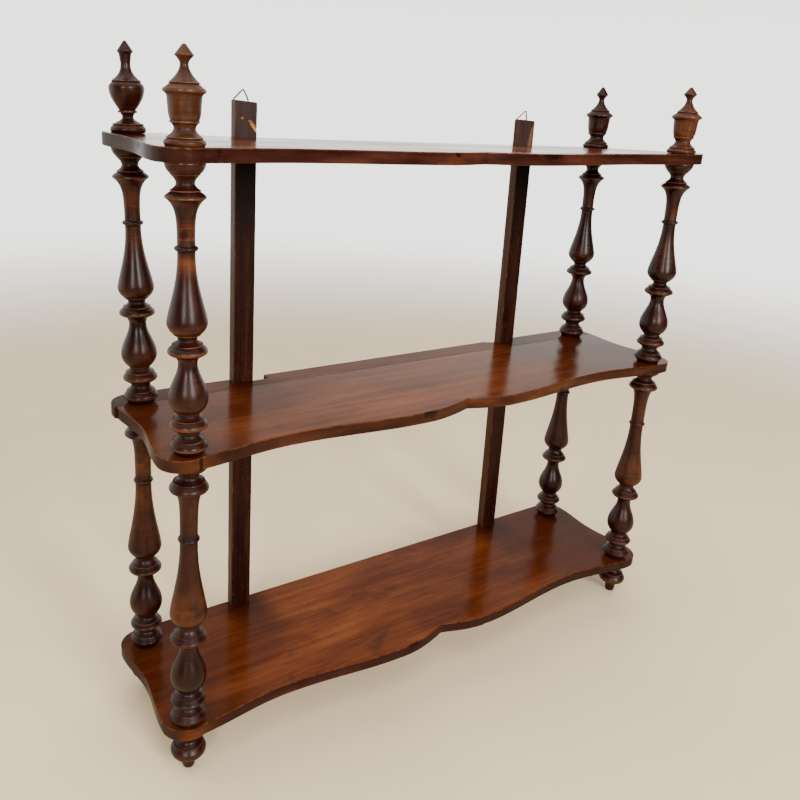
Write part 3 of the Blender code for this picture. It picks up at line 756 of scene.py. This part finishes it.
def ring_path():
    """The wire's centre line as (across, along the leg) points in a flat pattern, with rounded corners."""
    half = RING_WIDTH / 2
    top = RING_LEG + RING_ROOF
    corners = [(-half, 0), (half, 0), (half, RING_LEG), (0, top), (-half, RING_LEG)]
    path = []
    for before, here, after in neighbours([Vector(corner) for corner in corners]):
        enter = here.lerp(before, RING_CORNER / (before - here).length)
        leave = here.lerp(after, RING_CORNER / (after - here).length)
        for t in (0, *steps(BEND_STEPS)):
            path.append(enter * (1 - t) ** 2 + here * 2 * t * (1 - t) + leave * t ** 2)
    return path


def hanger_ring(side, hinge_z):
    """The wire loop, in the solid's place, leaning on the rail's head with its roof bent forward."""
    lean = math.radians(RING_LEAN)
    bend = math.radians(RING_LEAN + RING_BEND)
    path = []
    for across, along in ring_path():
        leg = min(along, RING_LEG)
        roof = along - leg
        depth = SEAT_GAP + EYE_RADIUS - leg * math.sin(lean) - roof * math.sin(bend)
        path.append(Vector((across, depth, leg * math.cos(lean) + roof * math.cos(bend))))
    points = []
    guide = Vector((0, 1, 0))
    for before, here, after in neighbours(path):
        along = (after - before).normalized()
        guide = (guide - along * guide.dot(along)).normalized()
        across = along.cross(guide)
        for x, y, _ in circle(1.0, 0.0, WIRE_SIDES):
            points.append(here + WIRE_RADIUS * (guide * x + across * y))
    faces = bands(len(path), WIRE_SIDES, rising=True, looped=True)
    values = {"wear": [0.3] * len(points), "grime": [0.0] * len(points), "seed": [7.0] * len(points)}
    look("hanger_ring_" + side, points, faces, values, WIRE, hinge_frame(side, hinge_z), "ring_" + side)


# Materials

class Nodes:
    """A tree of nodes, with a short call for each kind that the finishes and the backdrop use."""

    def __init__(self, tree):
        self.tree = tree

    def put(self, socket, value):
        if isinstance(value, bpy.types.NodeSocket):
            self.tree.links.new(value, socket)
        elif isinstance(value, tuple) and len(value) == 3 and socket.type == "RGBA":
            socket.default_value = (*value, 1.0)
        else:
            socket.default_value = value

    def node(self, kind, inputs, **settings):
        node = self.tree.nodes.new(kind)
        for key, value in settings.items():
            setattr(node, key, value)
        for key, value in inputs.items():
            self.put(node.inputs[key], value)
        return node

    def parts(self, vector):
        outputs = self.node("ShaderNodeSeparateXYZ", {"Vector": vector}).outputs
        return outputs["X"], outputs["Y"], outputs["Z"]

    def math(self, operation, a, b=0.0, clamp=False):
        return self.node("ShaderNodeMath", {0: a, 1: b}, operation=operation, use_clamp=clamp).outputs[0]

    def plus(self, a, b, clamp=False):
        return self.math("ADD", a, b, clamp)

    def times(self, a, b, clamp=False):
        return self.math("MULTIPLY", a, b, clamp)

    def weigh(self, *shares):
        """The sum of (value, weight) pairs."""
        total = self.times(*shares[0])
        for value, weight in shares[1:]:
            total = self.plus(total, self.times(value, weight))
        return total

    def span(self, value, low, high, to_low=0.0, to_high=1.0):
        inputs = {"Value": value, "From Min": low, "From Max": high, "To Min": to_low, "To Max": to_high}
        return self.node("ShaderNodeMapRange", inputs, interpolation_type="SMOOTHSTEP").outputs["Result"]

    def tint(self, color, *layers):
        """A colour with (share, colour) layers laid over it in turn."""
        for share, over in layers:
            color = self.node("ShaderNodeMix", {0: share, 6: color, 7: over}, data_type="RGBA").outputs[2]
        return color

    def ramp(self, share, stops):
        node = self.node("ShaderNodeValToRGB", {"Fac": share})
        elements = node.color_ramp.elements
        while len(elements) < len(stops):
            elements.new(0.5)
        for element, (position, color) in zip(elements, stops):
            element.position = position
            element.color = (*color, 1.0)
        return node.outputs["Color"]


class Shader(Nodes):
    """A material's nodes, with the point's place on its piece and the piece's seed."""

    def __init__(self, name):
        self.material = bpy.data.materials.new(name)
        self.material.use_nodes = True
        super().__init__(self.material.node_tree)
        self.place = self.node("ShaderNodeTexCoord", {}).outputs["Object"]
        self.across, self.depth, self.height = self.parts(self.place)
        self.seed = self.value("seed")

    def value(self, name):
        return self.node("ShaderNodeAttribute", {}, attribute_name=name).outputs["Fac"]

    def patchy(self, name, pattern, low, high, to_low=0.0, to_high=1.0):
        """A value of the mesh, broken up by a pattern."""
        return self.times(self.value(name), self.span(pattern, low, high, to_low, to_high), clamp=True)

    def grain(self, scale, detail, roughness, distortion=0.0, other=0.0, turn=0.0):
        """Noise stretched by scale and turned round Z; other picks another pattern for the same piece."""
        stretch = {"Vector": self.place, "Scale": scale, "Rotation": (0, 0, turn)}
        inputs = {
            "Vector": self.node("ShaderNodeMapping", stretch).outputs[0],
            "W": self.plus(self.seed, other) if other else self.seed,
            "Scale": 1.0,
            "Detail": detail,
            "Roughness": roughness,
            "Distortion": distortion,
        }
        return self.node("ShaderNodeTexNoise", inputs, noise_dimensions="4D").outputs["Fac"]

    def glance(self):
        return self.node("ShaderNodeLayerWeight", {"Blend": 0.5}).outputs["Facing"]

    def bumps(self, *layers):
        """A normal from (height, strength, distance) layers, each laid over the one before."""
        under = {}
        for height, strength, distance in layers:
            inputs = {"Height": height, "Strength": strength, "Distance": distance, **under}
            under = {"Normal": self.node("ShaderNodeBump", inputs).outputs["Normal"]}
        return under["Normal"]

    def connect(self, inputs):
        for key, value in inputs.items():
            self.put(self.tree.nodes["Principled BSDF"].inputs[key], value)

    def finish(self, slot, color, roughness, normal, sheen, sheen_input="Specular IOR Level"):
        self.connect({"Base Color": color, "Roughness": roughness, "Normal": normal, sheen_input: sheen})
        return self.material, slot


# Colours of dirt, stain and wear, and of painted shade and painted highlights
PORE = (0.022, 0.006, 0.003)
STAIN = (0.026, 0.006, 0.0026)
SPECK = (0.014, 0.004, 0.002)
BOARD_END = (0.034, 0.006, 0.0018)
BOARD_BACK = (0.03, 0.004, 0.0011)
LEFT_CORNER_SHADE = (0.014, 0.0038, 0.0022)
RAIL_FOOT_SHADE = (0.016, 0.0022, 0.0008)
UNDERSIDE = (0.06, 0.022, 0.008)
ARRIS_WEAR_AND_HIGHLIGHT = (0.135, 0.046, 0.016)
BRUISE = (0.006, 0.0026, 0.002)
EDGE_TONES = [(0.32, (0.014, 0.004, 0.0032)), (0.52, (0.036, 0.0102, 0.0068)), (0.72, (0.086, 0.026, 0.013))]
EDGE_TOP = (0.012, 0.0024, 0.0016)
EDGE_BELOW = (0.014, 0.0034, 0.002)
EDGE_RUBBED = (0.12, 0.034, 0.0068)
EDGE_RIGHT = (0.01, 0.003, 0.0018)
EDGE_LEFT = (0.018, 0.008, 0.006)
RIM_WEAR_AND_HIGHLIGHT = (0.088, 0.03, 0.011)
RAIL_TONES = [(0.34, (0.0052, 0.0013, 0.001)), (0.52, (0.015, 0.0031, 0.0018)), (0.7, (0.04, 0.0085, 0.0034))]
RAIL_FLECK = (0.15, 0.044, 0.014)
RAIL_BARE = (0.2, 0.07, 0.023)
RAIL_SHELF_SHADE = (0.003, 0.0014, 0.0012)
RAIL_WEATHERED = (0.036, 0.021, 0.018)
RAIL_WORN = (0.17, 0.068, 0.03)
RAIL_SCAR = [(0.35, (0.3, 0.105, 0.03)), (0.65, (0.52, 0.25, 0.1))]
FLOOR_TONES = [(0.3, (0.66, 0.53, 0.34)), (0.7, (0.72, 0.58, 0.38))]

# Steps of a board's tones
FACE_STOPS = (0.36, 0.46, 0.55, 0.66)

# Where painted shade darkens the boards beside the rails' feet, and the heights that a rail's painted shade
# under the top shelf fades between, in metres
RAIL_SHADE_X = (-0.2, 0.213)
SHELF_SHADE_IN = (0.42, 0.54)
SHELF_SHADE_OUT = (0.568, 0.582)


def shelf_face(s, tones, cloud, streak, fibre, pore):
    """Colour of a board's faces: streaked, darker in its pores, at its ends and back, with painted shade
    beside the rails' feet and at its left corners.
    """
    tone = s.weigh((cloud, 0.45), (streak, 0.35), (fibre, 0.2))
    stains = s.span(s.grain((11, 26, 26), 4.0, 0.6, 0.8, other=3.0), 0.57, 0.74)
    specks = s.span(s.grain((240, 420, 420), 1.0, 0.5, other=8.0), 0.71, 0.77)
    left_end = s.span(s.across, -0.15, -0.33, 0.0, 0.75)
    right_end = s.span(s.across, 0.06, 0.3)
    ends = s.plus(left_end, s.times(right_end, 1.35))
    back = s.times(s.span(s.depth, 0.02, 0.09, 0.0, 0.85), s.span(cloud, 0.35, 0.6, 1.0, 0.45))
    # Painted shade at the left corners, around the left columns' feet, stronger at the back on the higher
    # boards
    back_left = s.times(s.span(s.across, -0.22, -0.335), s.span(s.depth, -0.05, 0.06))
    back_left = s.times(back_left, s.span(s.seed, 1.6, 3.0, 0.12, 0.9))
    front_left = s.times(s.span(s.across, -0.23, -0.32, 0.0, 0.5), s.span(s.depth, -0.04, -0.085))
    # Painted shade on the boards beside the rails' feet
    left_rail_shade, right_rail_shade = (
        s.span(s.math("ABSOLUTE", s.plus(s.across, -x)), 0.01, 0.045, 1.0, 0.0) for x in RAIL_SHADE_X
    )
    rail_foot_shade = s.times(s.plus(left_rail_shade, right_rail_shade), s.span(s.depth, -0.05, 0.085, 0.0, 0.8))
    return s.tint(
        s.ramp(tone, list(zip(FACE_STOPS, tones))),
        (s.times(pore, 0.75), PORE),
        (s.times(stains, 0.7), STAIN),
        (s.times(ends, 0.62), BOARD_END),
        (back, BOARD_BACK),
        (s.plus(back_left, front_left), LEFT_CORNER_SHADE),
        (rail_foot_shade, RAIL_FOOT_SHADE),
        (s.times(specks, 0.7), SPECK),
    )


def shelf_edge(s):
    """Colour of a board's edge: dark at its top and ends, less so on higher shelves, rubbed in places."""
    tone = s.grain((14, 20, 70), 4.0, 0.55, 0.3)
    return s.tint(
        s.ramp(tone, EDGE_TONES),
        (s.times(s.span(s.height, 0.008, 0.0108), s.span(tone, 0.3, 0.6, 0.75, 0.35)), EDGE_TOP),
        (s.span(s.seed, 1.0, 3.0, 0.55, 0.26), EDGE_BELOW),
        (s.patchy("rub", tone, 0.36, 0.6, 0.25, 1.0), EDGE_RUBBED),
        (s.span(s.across, 0.28, 0.35, 0.0, 0.7), EDGE_RIGHT),
        (s.span(s.across, -0.335, -0.352, 0.0, 0.7), EDGE_LEFT),
    )


def shelf_wood(name, tones, shine):
    """Polished, streaky wood with a rubbed and bruised edge."""
    s = Shader(name)
    side = s.value("side")
    under = s.value("under")
    cloud = s.grain((5, 13, 13), 4.0, 0.55, 0.4)
    streak = s.grain((6, 120, 120), 5.0, 0.6, 0.3)
    fibre = s.grain((38, 620, 620), 3.0, 0.6)
    pores = s.span(s.grain((70, 1300, 1300), 2.0, 0.5), 0.6, 0.7)
    pore = s.times(pores, s.span(s.grain((14, 30, 30), 2.0, 0.5), 0.42, 0.62))
    worn = s.patchy("wear", s.grain((150, 150, 150), 3.0, 0.6), 0.4, 0.64)
    ragged = s.span(s.grain((260, 260, 420), 3.0, 0.6), 0.35, 0.6, 0.4, 1.3)
    bruise = s.times(s.times(s.value("chip"), side), ragged)
    color = s.tint(
        shelf_face(s, tones, cloud, streak, fibre, pore),
        (side, shelf_edge(s)),
        # A paler line along the arrises, most on the top one: worn polish and a painted highlight
        (s.times(worn, 0.5), ARRIS_WEAR_AND_HIGHLIGHT),
        (s.span(bruise, 0.35, 0.6, 0.0, 0.92), BRUISE),
        (s.times(under, 0.7), UNDERSIDE),
    )
    scratch = s.span(s.grain((900, 30, 30), 2.0, 0.5, turn=0.5), 0.66, 0.76)
    gloss = s.plus(s.span(cloud, 0.3, 0.7, 0.12, 0.23), s.times(scratch, 0.1))
    gloss = s.plus(gloss, s.times(s.plus(pore, under), 0.3), clamp=True)
    normal = s.bumps(
        (s.grain((9, 22, 22), 2.0, 0.5), 0.1, 0.004),
        (streak, 0.05, 0.0008),
        (s.math("SUBTRACT", fibre, pore), 0.1, 0.0003),
    )
    edge_sheen = s.span(s.glance(), 0.35, 0.75, 0.07, 0.012)
    sheen = s.span(side, 0.0, 1.0, shine, edge_sheen)
    return s.finish("shelf_wood", color, gloss, normal, sheen)


def turned_wood(name, slot, deep, middle, pale, rubbed, gold, hollow):
    """Stained turnings with fine tool lines, dirt and painted shade in the hollows, worn ridges and rubbed
    patches.
    """
    s = Shader(name)
    cloud = s.grain((52, 52, 26), 5.0, 0.62, 0.5)
    fibre = s.grain((240, 240, 9), 4.0, 0.6)
    lines = s.grain((26, 26, 1500), 2.0, 0.6)
    tone = s.weigh((cloud, 0.52), (fibre, 0.2), (lines, 0.28))
    rub = s.weigh((s.grain((60, 60, 60), 4.0, 0.65, other=5.0), 0.6), (lines, 0.4))
    patch = s.patchy("patch", rub, 0.36, 0.6)
    grime = s.patchy("grime", cloud, 0.25, 0.6, 0.7, 1.0)
    color = s.tint(
        s.ramp(tone, [(0.4, deep), (0.5, middle), (0.61, pale)]),
        (patch, rubbed),
        # Rims of rings are painted paler: worn wood and a painted highlight
        (s.patchy("rim", rub, 0.3, 0.58, 0.25, 1.0), RIM_WEAR_AND_HIGHLIGHT),
        # The hollow colour is dirt and painted shade laid into the hollows and coves
        (grime, hollow),
        (s.patchy("wear", s.grain((90, 90, 140), 3.0, 0.6), 0.36, 0.62, 0.1, 0.85), gold),
    )
    gloss = s.plus(s.span(cloud, 0.3, 0.7, 0.28, 0.37), s.times(grime, 0.22))
    gloss = s.plus(gloss, s.times(patch, 0.12), clamp=True)
    normal = s.bumps((lines, 0.05, 0.0003), (fibre, 0.02, 0.0003))
    sheen = s.span(s.glance(), 0.4, 0.92, 0.17, 0.02)
    return s.finish(slot, color, gloss, normal, sheen)


def rail_wood(name, side_tones, bare_share):
    """Dark sawn wood, flecked, darkened with painted shade below the top shelf, weathered above it and bare
    in its scars.
    """
    s = Shader(name)
    streak = s.grain((260, 260, 9), 5.0, 0.65)
    cloud = s.grain((50, 50, 14), 4.0, 0.6)
    flecks = s.span(s.grain((1100, 1100, 260), 2.0, 0.6), 0.6, 0.7)
    fleck = s.times(flecks, s.span(s.grain((90, 90, 22), 3.0, 0.6, other=2.0), 0.43, 0.61))
    bare = s.span(s.grain((120, 120, 12), 4.0, 0.65, other=6.0), 0.52, 0.68)
    # Painted shade on the rail just below the top shelf
    shade_under_top = s.times(s.span(s.height, *SHELF_SHADE_IN, 0.0, 0.85), s.span(s.height, *SHELF_SHADE_OUT, 1.0, 0.0))
    weathered = s.times(s.span(s.height, *SHELF_SHADE_OUT), s.span(streak, 0.35, 0.6, 0.55, 0.9))
    worn = s.patchy("wear", s.grain((160, 160, 60), 3.0, 0.6), 0.5, 0.7)
    color = s.tint(
        s.ramp(s.weigh((streak, 0.6), (cloud, 0.4)), RAIL_TONES),
        (s.times(fleck, 0.85), RAIL_FLECK),
        (s.times(bare, bare_share), RAIL_BARE),
        (shade_under_top, RAIL_SHELF_SHADE),
        (weathered, RAIL_WEATHERED),
        (s.times(s.value("side"), 0.9), s.ramp(streak, side_tones)),
        (s.times(worn, 0.6), RAIL_WORN),
        (s.value("chip"), s.ramp(streak, RAIL_SCAR)),
    )
    gloss = s.plus(s.span(cloud, 0.3, 0.7, 0.36, 0.52), s.times(fleck, 0.2), clamp=True)
    normal = s.bumps((streak, 0.25, 0.0006), (fleck, 0.2, 0.0004))
    return s.finish("rail_wood", color, gloss, normal, 0.075)


def metal(name, slot, bright, dull, rust, sheen):
    """Clouded metal, dulled by spots of rust."""
    s = Shader(name)
    cloud = s.grain((420, 420, 420), 4.0, 0.65)
    spots = s.span(s.grain((900, 900, 900), 3.0, 0.6, other=4.0), 0.56, 0.68)
    color = s.tint(s.ramp(cloud, [(0.35, dull), (0.65, bright)]), (s.times(spots, 0.8), rust))
    polish = s.math("SUBTRACT", s.span(cloud, 0.3, 0.7, 0.38, 0.55), s.times(s.value("wear"), 0.1))
    polish = s.plus(polish, s.times(spots, 0.25), clamp=True)
    shine = s.span(spots, 0.0, 1.0, sheen, 0.1)
    return s.finish(slot, color, polish, s.bumps((cloud, 0.08, 0.0002)), shine, "Metallic")


def floor_finish():
    """A pale matt floor that thins out to nothing away from the object, so that it shows no far edge."""
    s = Shader("pale_floor")
    cloud = s.grain((3, 3, 3), 3.0, 0.5)
    distance = s.node("ShaderNodeVectorMath", {0: s.place}, operation="LENGTH").outputs["Value"]
    s.connect({
        "Base Color": s.ramp(cloud, FLOOR_TONES),
        "Roughness": s.span(cloud, 0.3, 0.7, 0.6, 0.7),
        "Alpha": s.span(distance, 1.2, 3.4, 1.0, 0.0),
    })
    return s.material


SHELF_WOOD = shelf_wood(
    "polished_shelf_wood",
    tones=[(0.034, 0.007, 0.0018), (0.076, 0.0158, 0.0038), (0.124, 0.0305, 0.007), (0.182, 0.054, 0.0135)],
    shine=0.047,
)
STRIP_WOOD = shelf_wood(
    "polished_strip_wood",
    tones=[(0.027, 0.0064, 0.0018), (0.06, 0.014, 0.0036), (0.098, 0.0255, 0.0064), (0.145, 0.044, 0.012)],
    shine=0.02,
)
DARK_TURNED = turned_wood(
    "dark_turned_wood",
    "turned_wood",
    deep=(0.0068, 0.0015, 0.0011),
    middle=(0.013, 0.0019, 0.001),
    pale=(0.031, 0.0047, 0.0015),
    rubbed=(0.114, 0.0315, 0.0056),
    gold=(0.16, 0.052, 0.0135),
    hollow=(0.0036, 0.0013, 0.001),
)
PALE_TURNED = turned_wood(
    "rubbed_turned_wood",
    "pale_turned_wood",
    deep=(0.017, 0.005, 0.0019),
    middle=(0.034, 0.0096, 0.0035),
    pale=(0.067, 0.0215, 0.0072),
    rubbed=(0.098, 0.034, 0.011),
    gold=(0.19, 0.078, 0.025),
    hollow=(0.0075, 0.0024, 0.0013),
)
WARM_TURNED = turned_wood(
    "warm_turned_wood",
    "pale_turned_wood",
    deep=(0.014, 0.0036, 0.0017),
    middle=(0.042, 0.011, 0.004),
    pale=(0.09, 0.0265, 0.0078),
    rubbed=(0.16, 0.052, 0.012),
    gold=(0.18, 0.068, 0.019),
    hollow=(0.0052, 0.0018, 0.0012),
)
LEFT_RAIL_WOOD = rail_wood(
    "left_rail_wood",
    side_tones=[(0.3, (0.027, 0.013, 0.007)), (0.55, (0.06, 0.03, 0.018)), (0.75, (0.1, 0.054, 0.034))],
    bare_share=0.08,
)
RIGHT_RAIL_WOOD = rail_wood(
    "right_rail_wood",
    side_tones=[(0.3, (0.022, 0.009, 0.005)), (0.55, (0.05, 0.021, 0.011)), (0.75, (0.09, 0.04, 0.021))],
    bare_share=0.06,
)
STEEL = metal("dull_steel", "steel", (0.34, 0.33, 0.31), (0.16, 0.15, 0.14), (0.09, 0.042, 0.022), 0.95)
WIRE = metal("grey_wire", "wire", (0.13, 0.12, 0.12), (0.07, 0.065, 0.063), (0.06, 0.038, 0.028), 0.3)


# The piece itself

def at(corner, z, lift=FLAT, shift=NO_SHIFT):
    """A point of a corner's axis at the height z, with the board's warp there."""
    spot = CORNERS[corner]
    return spot + shift + Vector((0, 0, z + warp(spot.x, spot.y, lift)))


def corner_stack(corner, seed, upper_wear, lower_wear, upper_rubs, lower_rubs, finial, finial_wood):
    """A foot, two columns and a finial on one corner."""
    lean = LEAN if corner == "back_left" else NO_SHIFT
    low_shift = FOOT_SHIFT.get(corner, NO_SHIFT)
    turned(
        "foot_" + corner, FOOT_TOP_RADIUS, FOOT,
        at(corner, 0, shift=low_shift), at(corner, BOTTOM_LOW, shift=low_shift),
        seed, [(20, 6, 0.2)], lower_wear, DARK_TURNED,
    )
    turned(
        "lower_column_" + corner, CUP_RADIUS, LOWER_COLUMN,
        at(corner, BOTTOM_HIGH, shift=low_shift), at(corner, MIDDLE_LOW, MIDDLE_WARP, MIDDLE_SHIFT),
        seed + 1.3, lower_rubs, lower_wear, DARK_TURNED,
    )
    turned(
        "upper_column_" + corner, CUP_RADIUS, UPPER_COLUMN,
        at(corner, MIDDLE_HIGH, MIDDLE_WARP, MIDDLE_SHIFT), at(corner, TOP_LOW, TOP_WARP, lean),
        seed + 2.7, upper_rubs, upper_wear, DARK_TURNED,
    )
    height = sum(size for _, size, _ in finial)
    bay = TOP_LOW - MIDDLE_HIGH
    foot_lean = lean * (TOP_HIGH - MIDDLE_HIGH) / bay
    head_lean = lean * (TOP_HIGH + height - MIDDLE_HIGH) / bay
    turned(
        "finial_" + corner, 0.0, finial,
        at(corner, TOP_HIGH, TOP_WARP, foot_lean), at(corner, TOP_HIGH + height, TOP_WARP, head_lean),
        seed + 4.1, [(35, 30, 0.12)], 0.6 * upper_wear, finial_wood,
    )


corner_stack(
    "front_left", seed=1.0, upper_wear=1.0, lower_wear=0.15,
    upper_rubs=[(199, 9, 1.0), (176, 8, 0.75), (188, 3, -0.6), (114, 6, 0.4), (48, 14, 0.22)],
    lower_rubs=[(230, 16, 0.24), (206, 4, -0.3), (136, 19, 0.48)],
    finial=CUP_FINIAL, finial_wood=PALE_TURNED,
)
corner_stack(
    "front_right", seed=11.0, upper_wear=0.5, lower_wear=0.7,
    upper_rubs=[(198, 12, 0.35), (150, 20, 0.2)],
    lower_rubs=[(228, 24, 0.25), (140, 26, 0.45)],
    finial=CUP_FINIAL, finial_wood=WARM_TURNED,
)
corner_stack(
    "back_left", seed=21.0, upper_wear=0.8, lower_wear=0.6,
    upper_rubs=[(210, 12, 0.4), (176, 12, 0.3), (120, 12, 0.2), (48, 14, 0.3)],
    lower_rubs=[(228, 12, 0.9), (190, 14, 0.6), (150, 12, 0.3)],
    finial=URN_FINIAL, finial_wood=DARK_TURNED,
)
corner_stack(
    "back_right", seed=31.0, upper_wear=0.35, lower_wear=0.7,
    upper_rubs=[(196, 12, 0.2)],
    lower_rubs=[(150, 20, 0.1)],
    finial=TALL_FINIAL, finial_wood=DARK_TURNED,
)

LEFT_LOBE = (CORNERS["front_left"].x - 12, FRONT_Y - 14)
MIDDLE_OUTLINE = shelf_outline("middle", MIDDLE_SHIFT.x, cusp=MIDDLE_CUSP_SHIFT)
STRIP_OUTLINE = shelf_outline(
    "middle", MIDDLE_SHIFT.x, WIDE_NOTCH_EXTRA, BROKEN_NOTCH_EXTRA, proud=STRIP_PROUD,
)
BOARD_JOINT = JOINT_Y - JOINT_GAP
shelf(
    "bottom_shelf", "bottom", shelf_outline("bottom", lobe_loss=(3.0, 2.2)), 1.0, SHELF_WOOD,
    chips=[(-55, 11, 1.7, -0.4), (60, 7, 1.0, 0.4)],
    rubs=[(*LEFT_LOBE, 24, 0.6)],
)
shelf(
    "middle_shelf", "middle", keep_side(MIDDLE_OUTLINE, BOARD_JOINT, -1), 2.0, SHELF_WOOD, MIDDLE_WARP,
    chips=[(-61, 11, 1.0, -0.8), (150, 8, 0.9, 0.4), (-322, 2.4, 0.9, 30)],
    rubs=[(*LEFT_LOBE, 26, 1.0), (60, FRONT_EDGE + 8, 190, 0.36)],
    joint=BOARD_JOINT,
)
shelf(
    "middle_shelf_back_strip", "middle", keep_side(STRIP_OUTLINE, JOINT_Y, 1), 2.6, STRIP_WOOD, MIDDLE_WARP,
    joint=JOINT_Y,
)
shelf(
    "top_shelf", "top", shelf_outline("top", lobe_loss=(2.4, 1.5)), 3.0, SHELF_WOOD, TOP_WARP,
    chips=[(-52, 5, 1.3, -0.5), (81, 19, 1.4, -0.62), (-303, 3, 1.0, -0.9)],
    rubs=[(-20, FRONT_EDGE + 6, 120, 0.1)],
)

LEFT_SCARS = [(8.6, 594.0, 2.6, 7.5, 0.75, 2.0, 1.0), (-5.5, 602.0, 0.9, 1.3, 0.0, 0.3, 0.8)]
RIGHT_SCARS = [(7.0, 590.0, 3.6, 20.0, -0.12, 0.25, 0.22)]
rail("left", 1.7, LEFT_SCARS, LEFT_RAIL_WOOD)
rail("right", 5.9, RIGHT_SCARS, RIGHT_RAIL_WOOD)
for side in ("left", "right"):
    for level, (low, high) in LEVELS.items():
        height = ((low + high) / 2 - BOTTOM_LOW) / math.cos(math.radians(RAIL_LEAN[side]))
        nail("rail_nail_" + side + "_" + level, side, (0, NAIL_PROUD, height), NAIL_LENGTH)
    hinge = rail_length(side) - HINGE_BELOW_HEAD
    hanger_strap(side, hinge)
    hanger_ring(side, hinge)
    nail_head = SEAT_GAP + STRAP_THICKNESS + STRAP_NAIL_PROUD
    nail_place = (HANGER_X[side], nail_head, hinge - STRAP_NAIL_DROP)
    nail("strap_nail_" + side, side, nail_place, STRAP_NAIL_LENGTH)


# Stage, light and camera

def stage_floor():
    points = [(0, 0, 0)]
    for k in range(1, FLOOR_RINGS + 1):
        points += circle(FLOOR_RADIUS * k / FLOOR_RINGS, 0, FLOOR_SIDES)
    faces = [(0, 1 + i, 1 + (i + 1) % FLOOR_SIDES) for i in range(FLOOR_SIDES)]
    faces += bands(FLOOR_RINGS, FLOOR_SIDES, first=1)
    floor = new_piece("studio_floor", points, faces, {}, floor_finish())
    floor.location.z = -0.0002


def studio_world():
    """A backdrop that is bright behind the object, dim in front of it and a little warmer higher up."""
    world = bpy.data.worlds.new("studio")
    bpy.context.scene.world = world
    world.use_nodes = True
    s = Nodes(world.node_tree)
    _, depth, height = s.parts(s.node("ShaderNodeTexCoord", {}).outputs["Generated"])
    background = s.tree.nodes["Background"].inputs
    s.put(background["Strength"], s.span(depth, -0.15, 0.4, 0.12, 2.6))
    s.put(background["Color"], s.ramp(height, [(0.1, (1.0, 0.985, 0.96)), (0.36, (0.8, 0.745, 0.67))]))


def window_light(name, place, target, size, power):
    data = bpy.data.lights.new(name, "AREA")
    data.shape = "RECTANGLE"
    data.size, data.size_y = size
    data.energy = power
    data.color = (1.0, 0.97, 0.93)
    light = put_in_scene(name, data)
    light.location = place
    light.rotation_euler = (Vector(target) - Vector(place)).to_track_quat("-Z", "Y").to_euler()


def photo_camera():
    """The photo's view: the eye's place and turn, and its lens in pixels of an 800 pixel frame."""
    frame_px = 800.0
    focal_px = 781.3
    centre_px = (350.7, 336.1)
    eye = Vector((-0.5656, -0.69975, 0.6625))
    yaw = math.radians(33.16)
    pitch = math.radians(-16.3)
    roll = math.radians(2.99)
    aim = Matrix.Rotation(-yaw, 4, "Z") @ Matrix.Rotation(math.radians(90) + pitch, 4, "X")
    data = bpy.data.cameras.new("photo_camera")
    data.sensor_width = 36
    data.lens = focal_px / frame_px * data.sensor_width
    data.shift_x = 0.5 - centre_px[0] / frame_px
    data.shift_y = centre_px[1] / frame_px - 0.5
    data.clip_start = 0.01
    camera = put_in_scene("photo_camera", data)
    camera.matrix_world = Matrix.Translation(eye) @ aim @ Matrix.Rotation(roll, 4, "Z")
    bpy.context.scene.camera = camera


stage_floor()
studio_world()
WINDOW_TARGET = (-0.1, 0, 0.4)
window_light("front_window", (0.02, -2.36, 1.25), WINDOW_TARGET, size=(0.6, 0.9), power=80)
window_light("left_window", (-1.87, -1.91, 1.3), WINDOW_TARGET, size=(0.55, 0.9), power=48)
window_light("right_window", (1.2, -2.0, 1.6), WINDOW_TARGET, size=(0.5, 1.2), power=14)
window_light("ceiling", (-0.3, -0.5, 2.6), (0, 0, 0.3), size=(2.8, 2.2), power=48)
photo_camera()

bpy.context.view_layer.update()
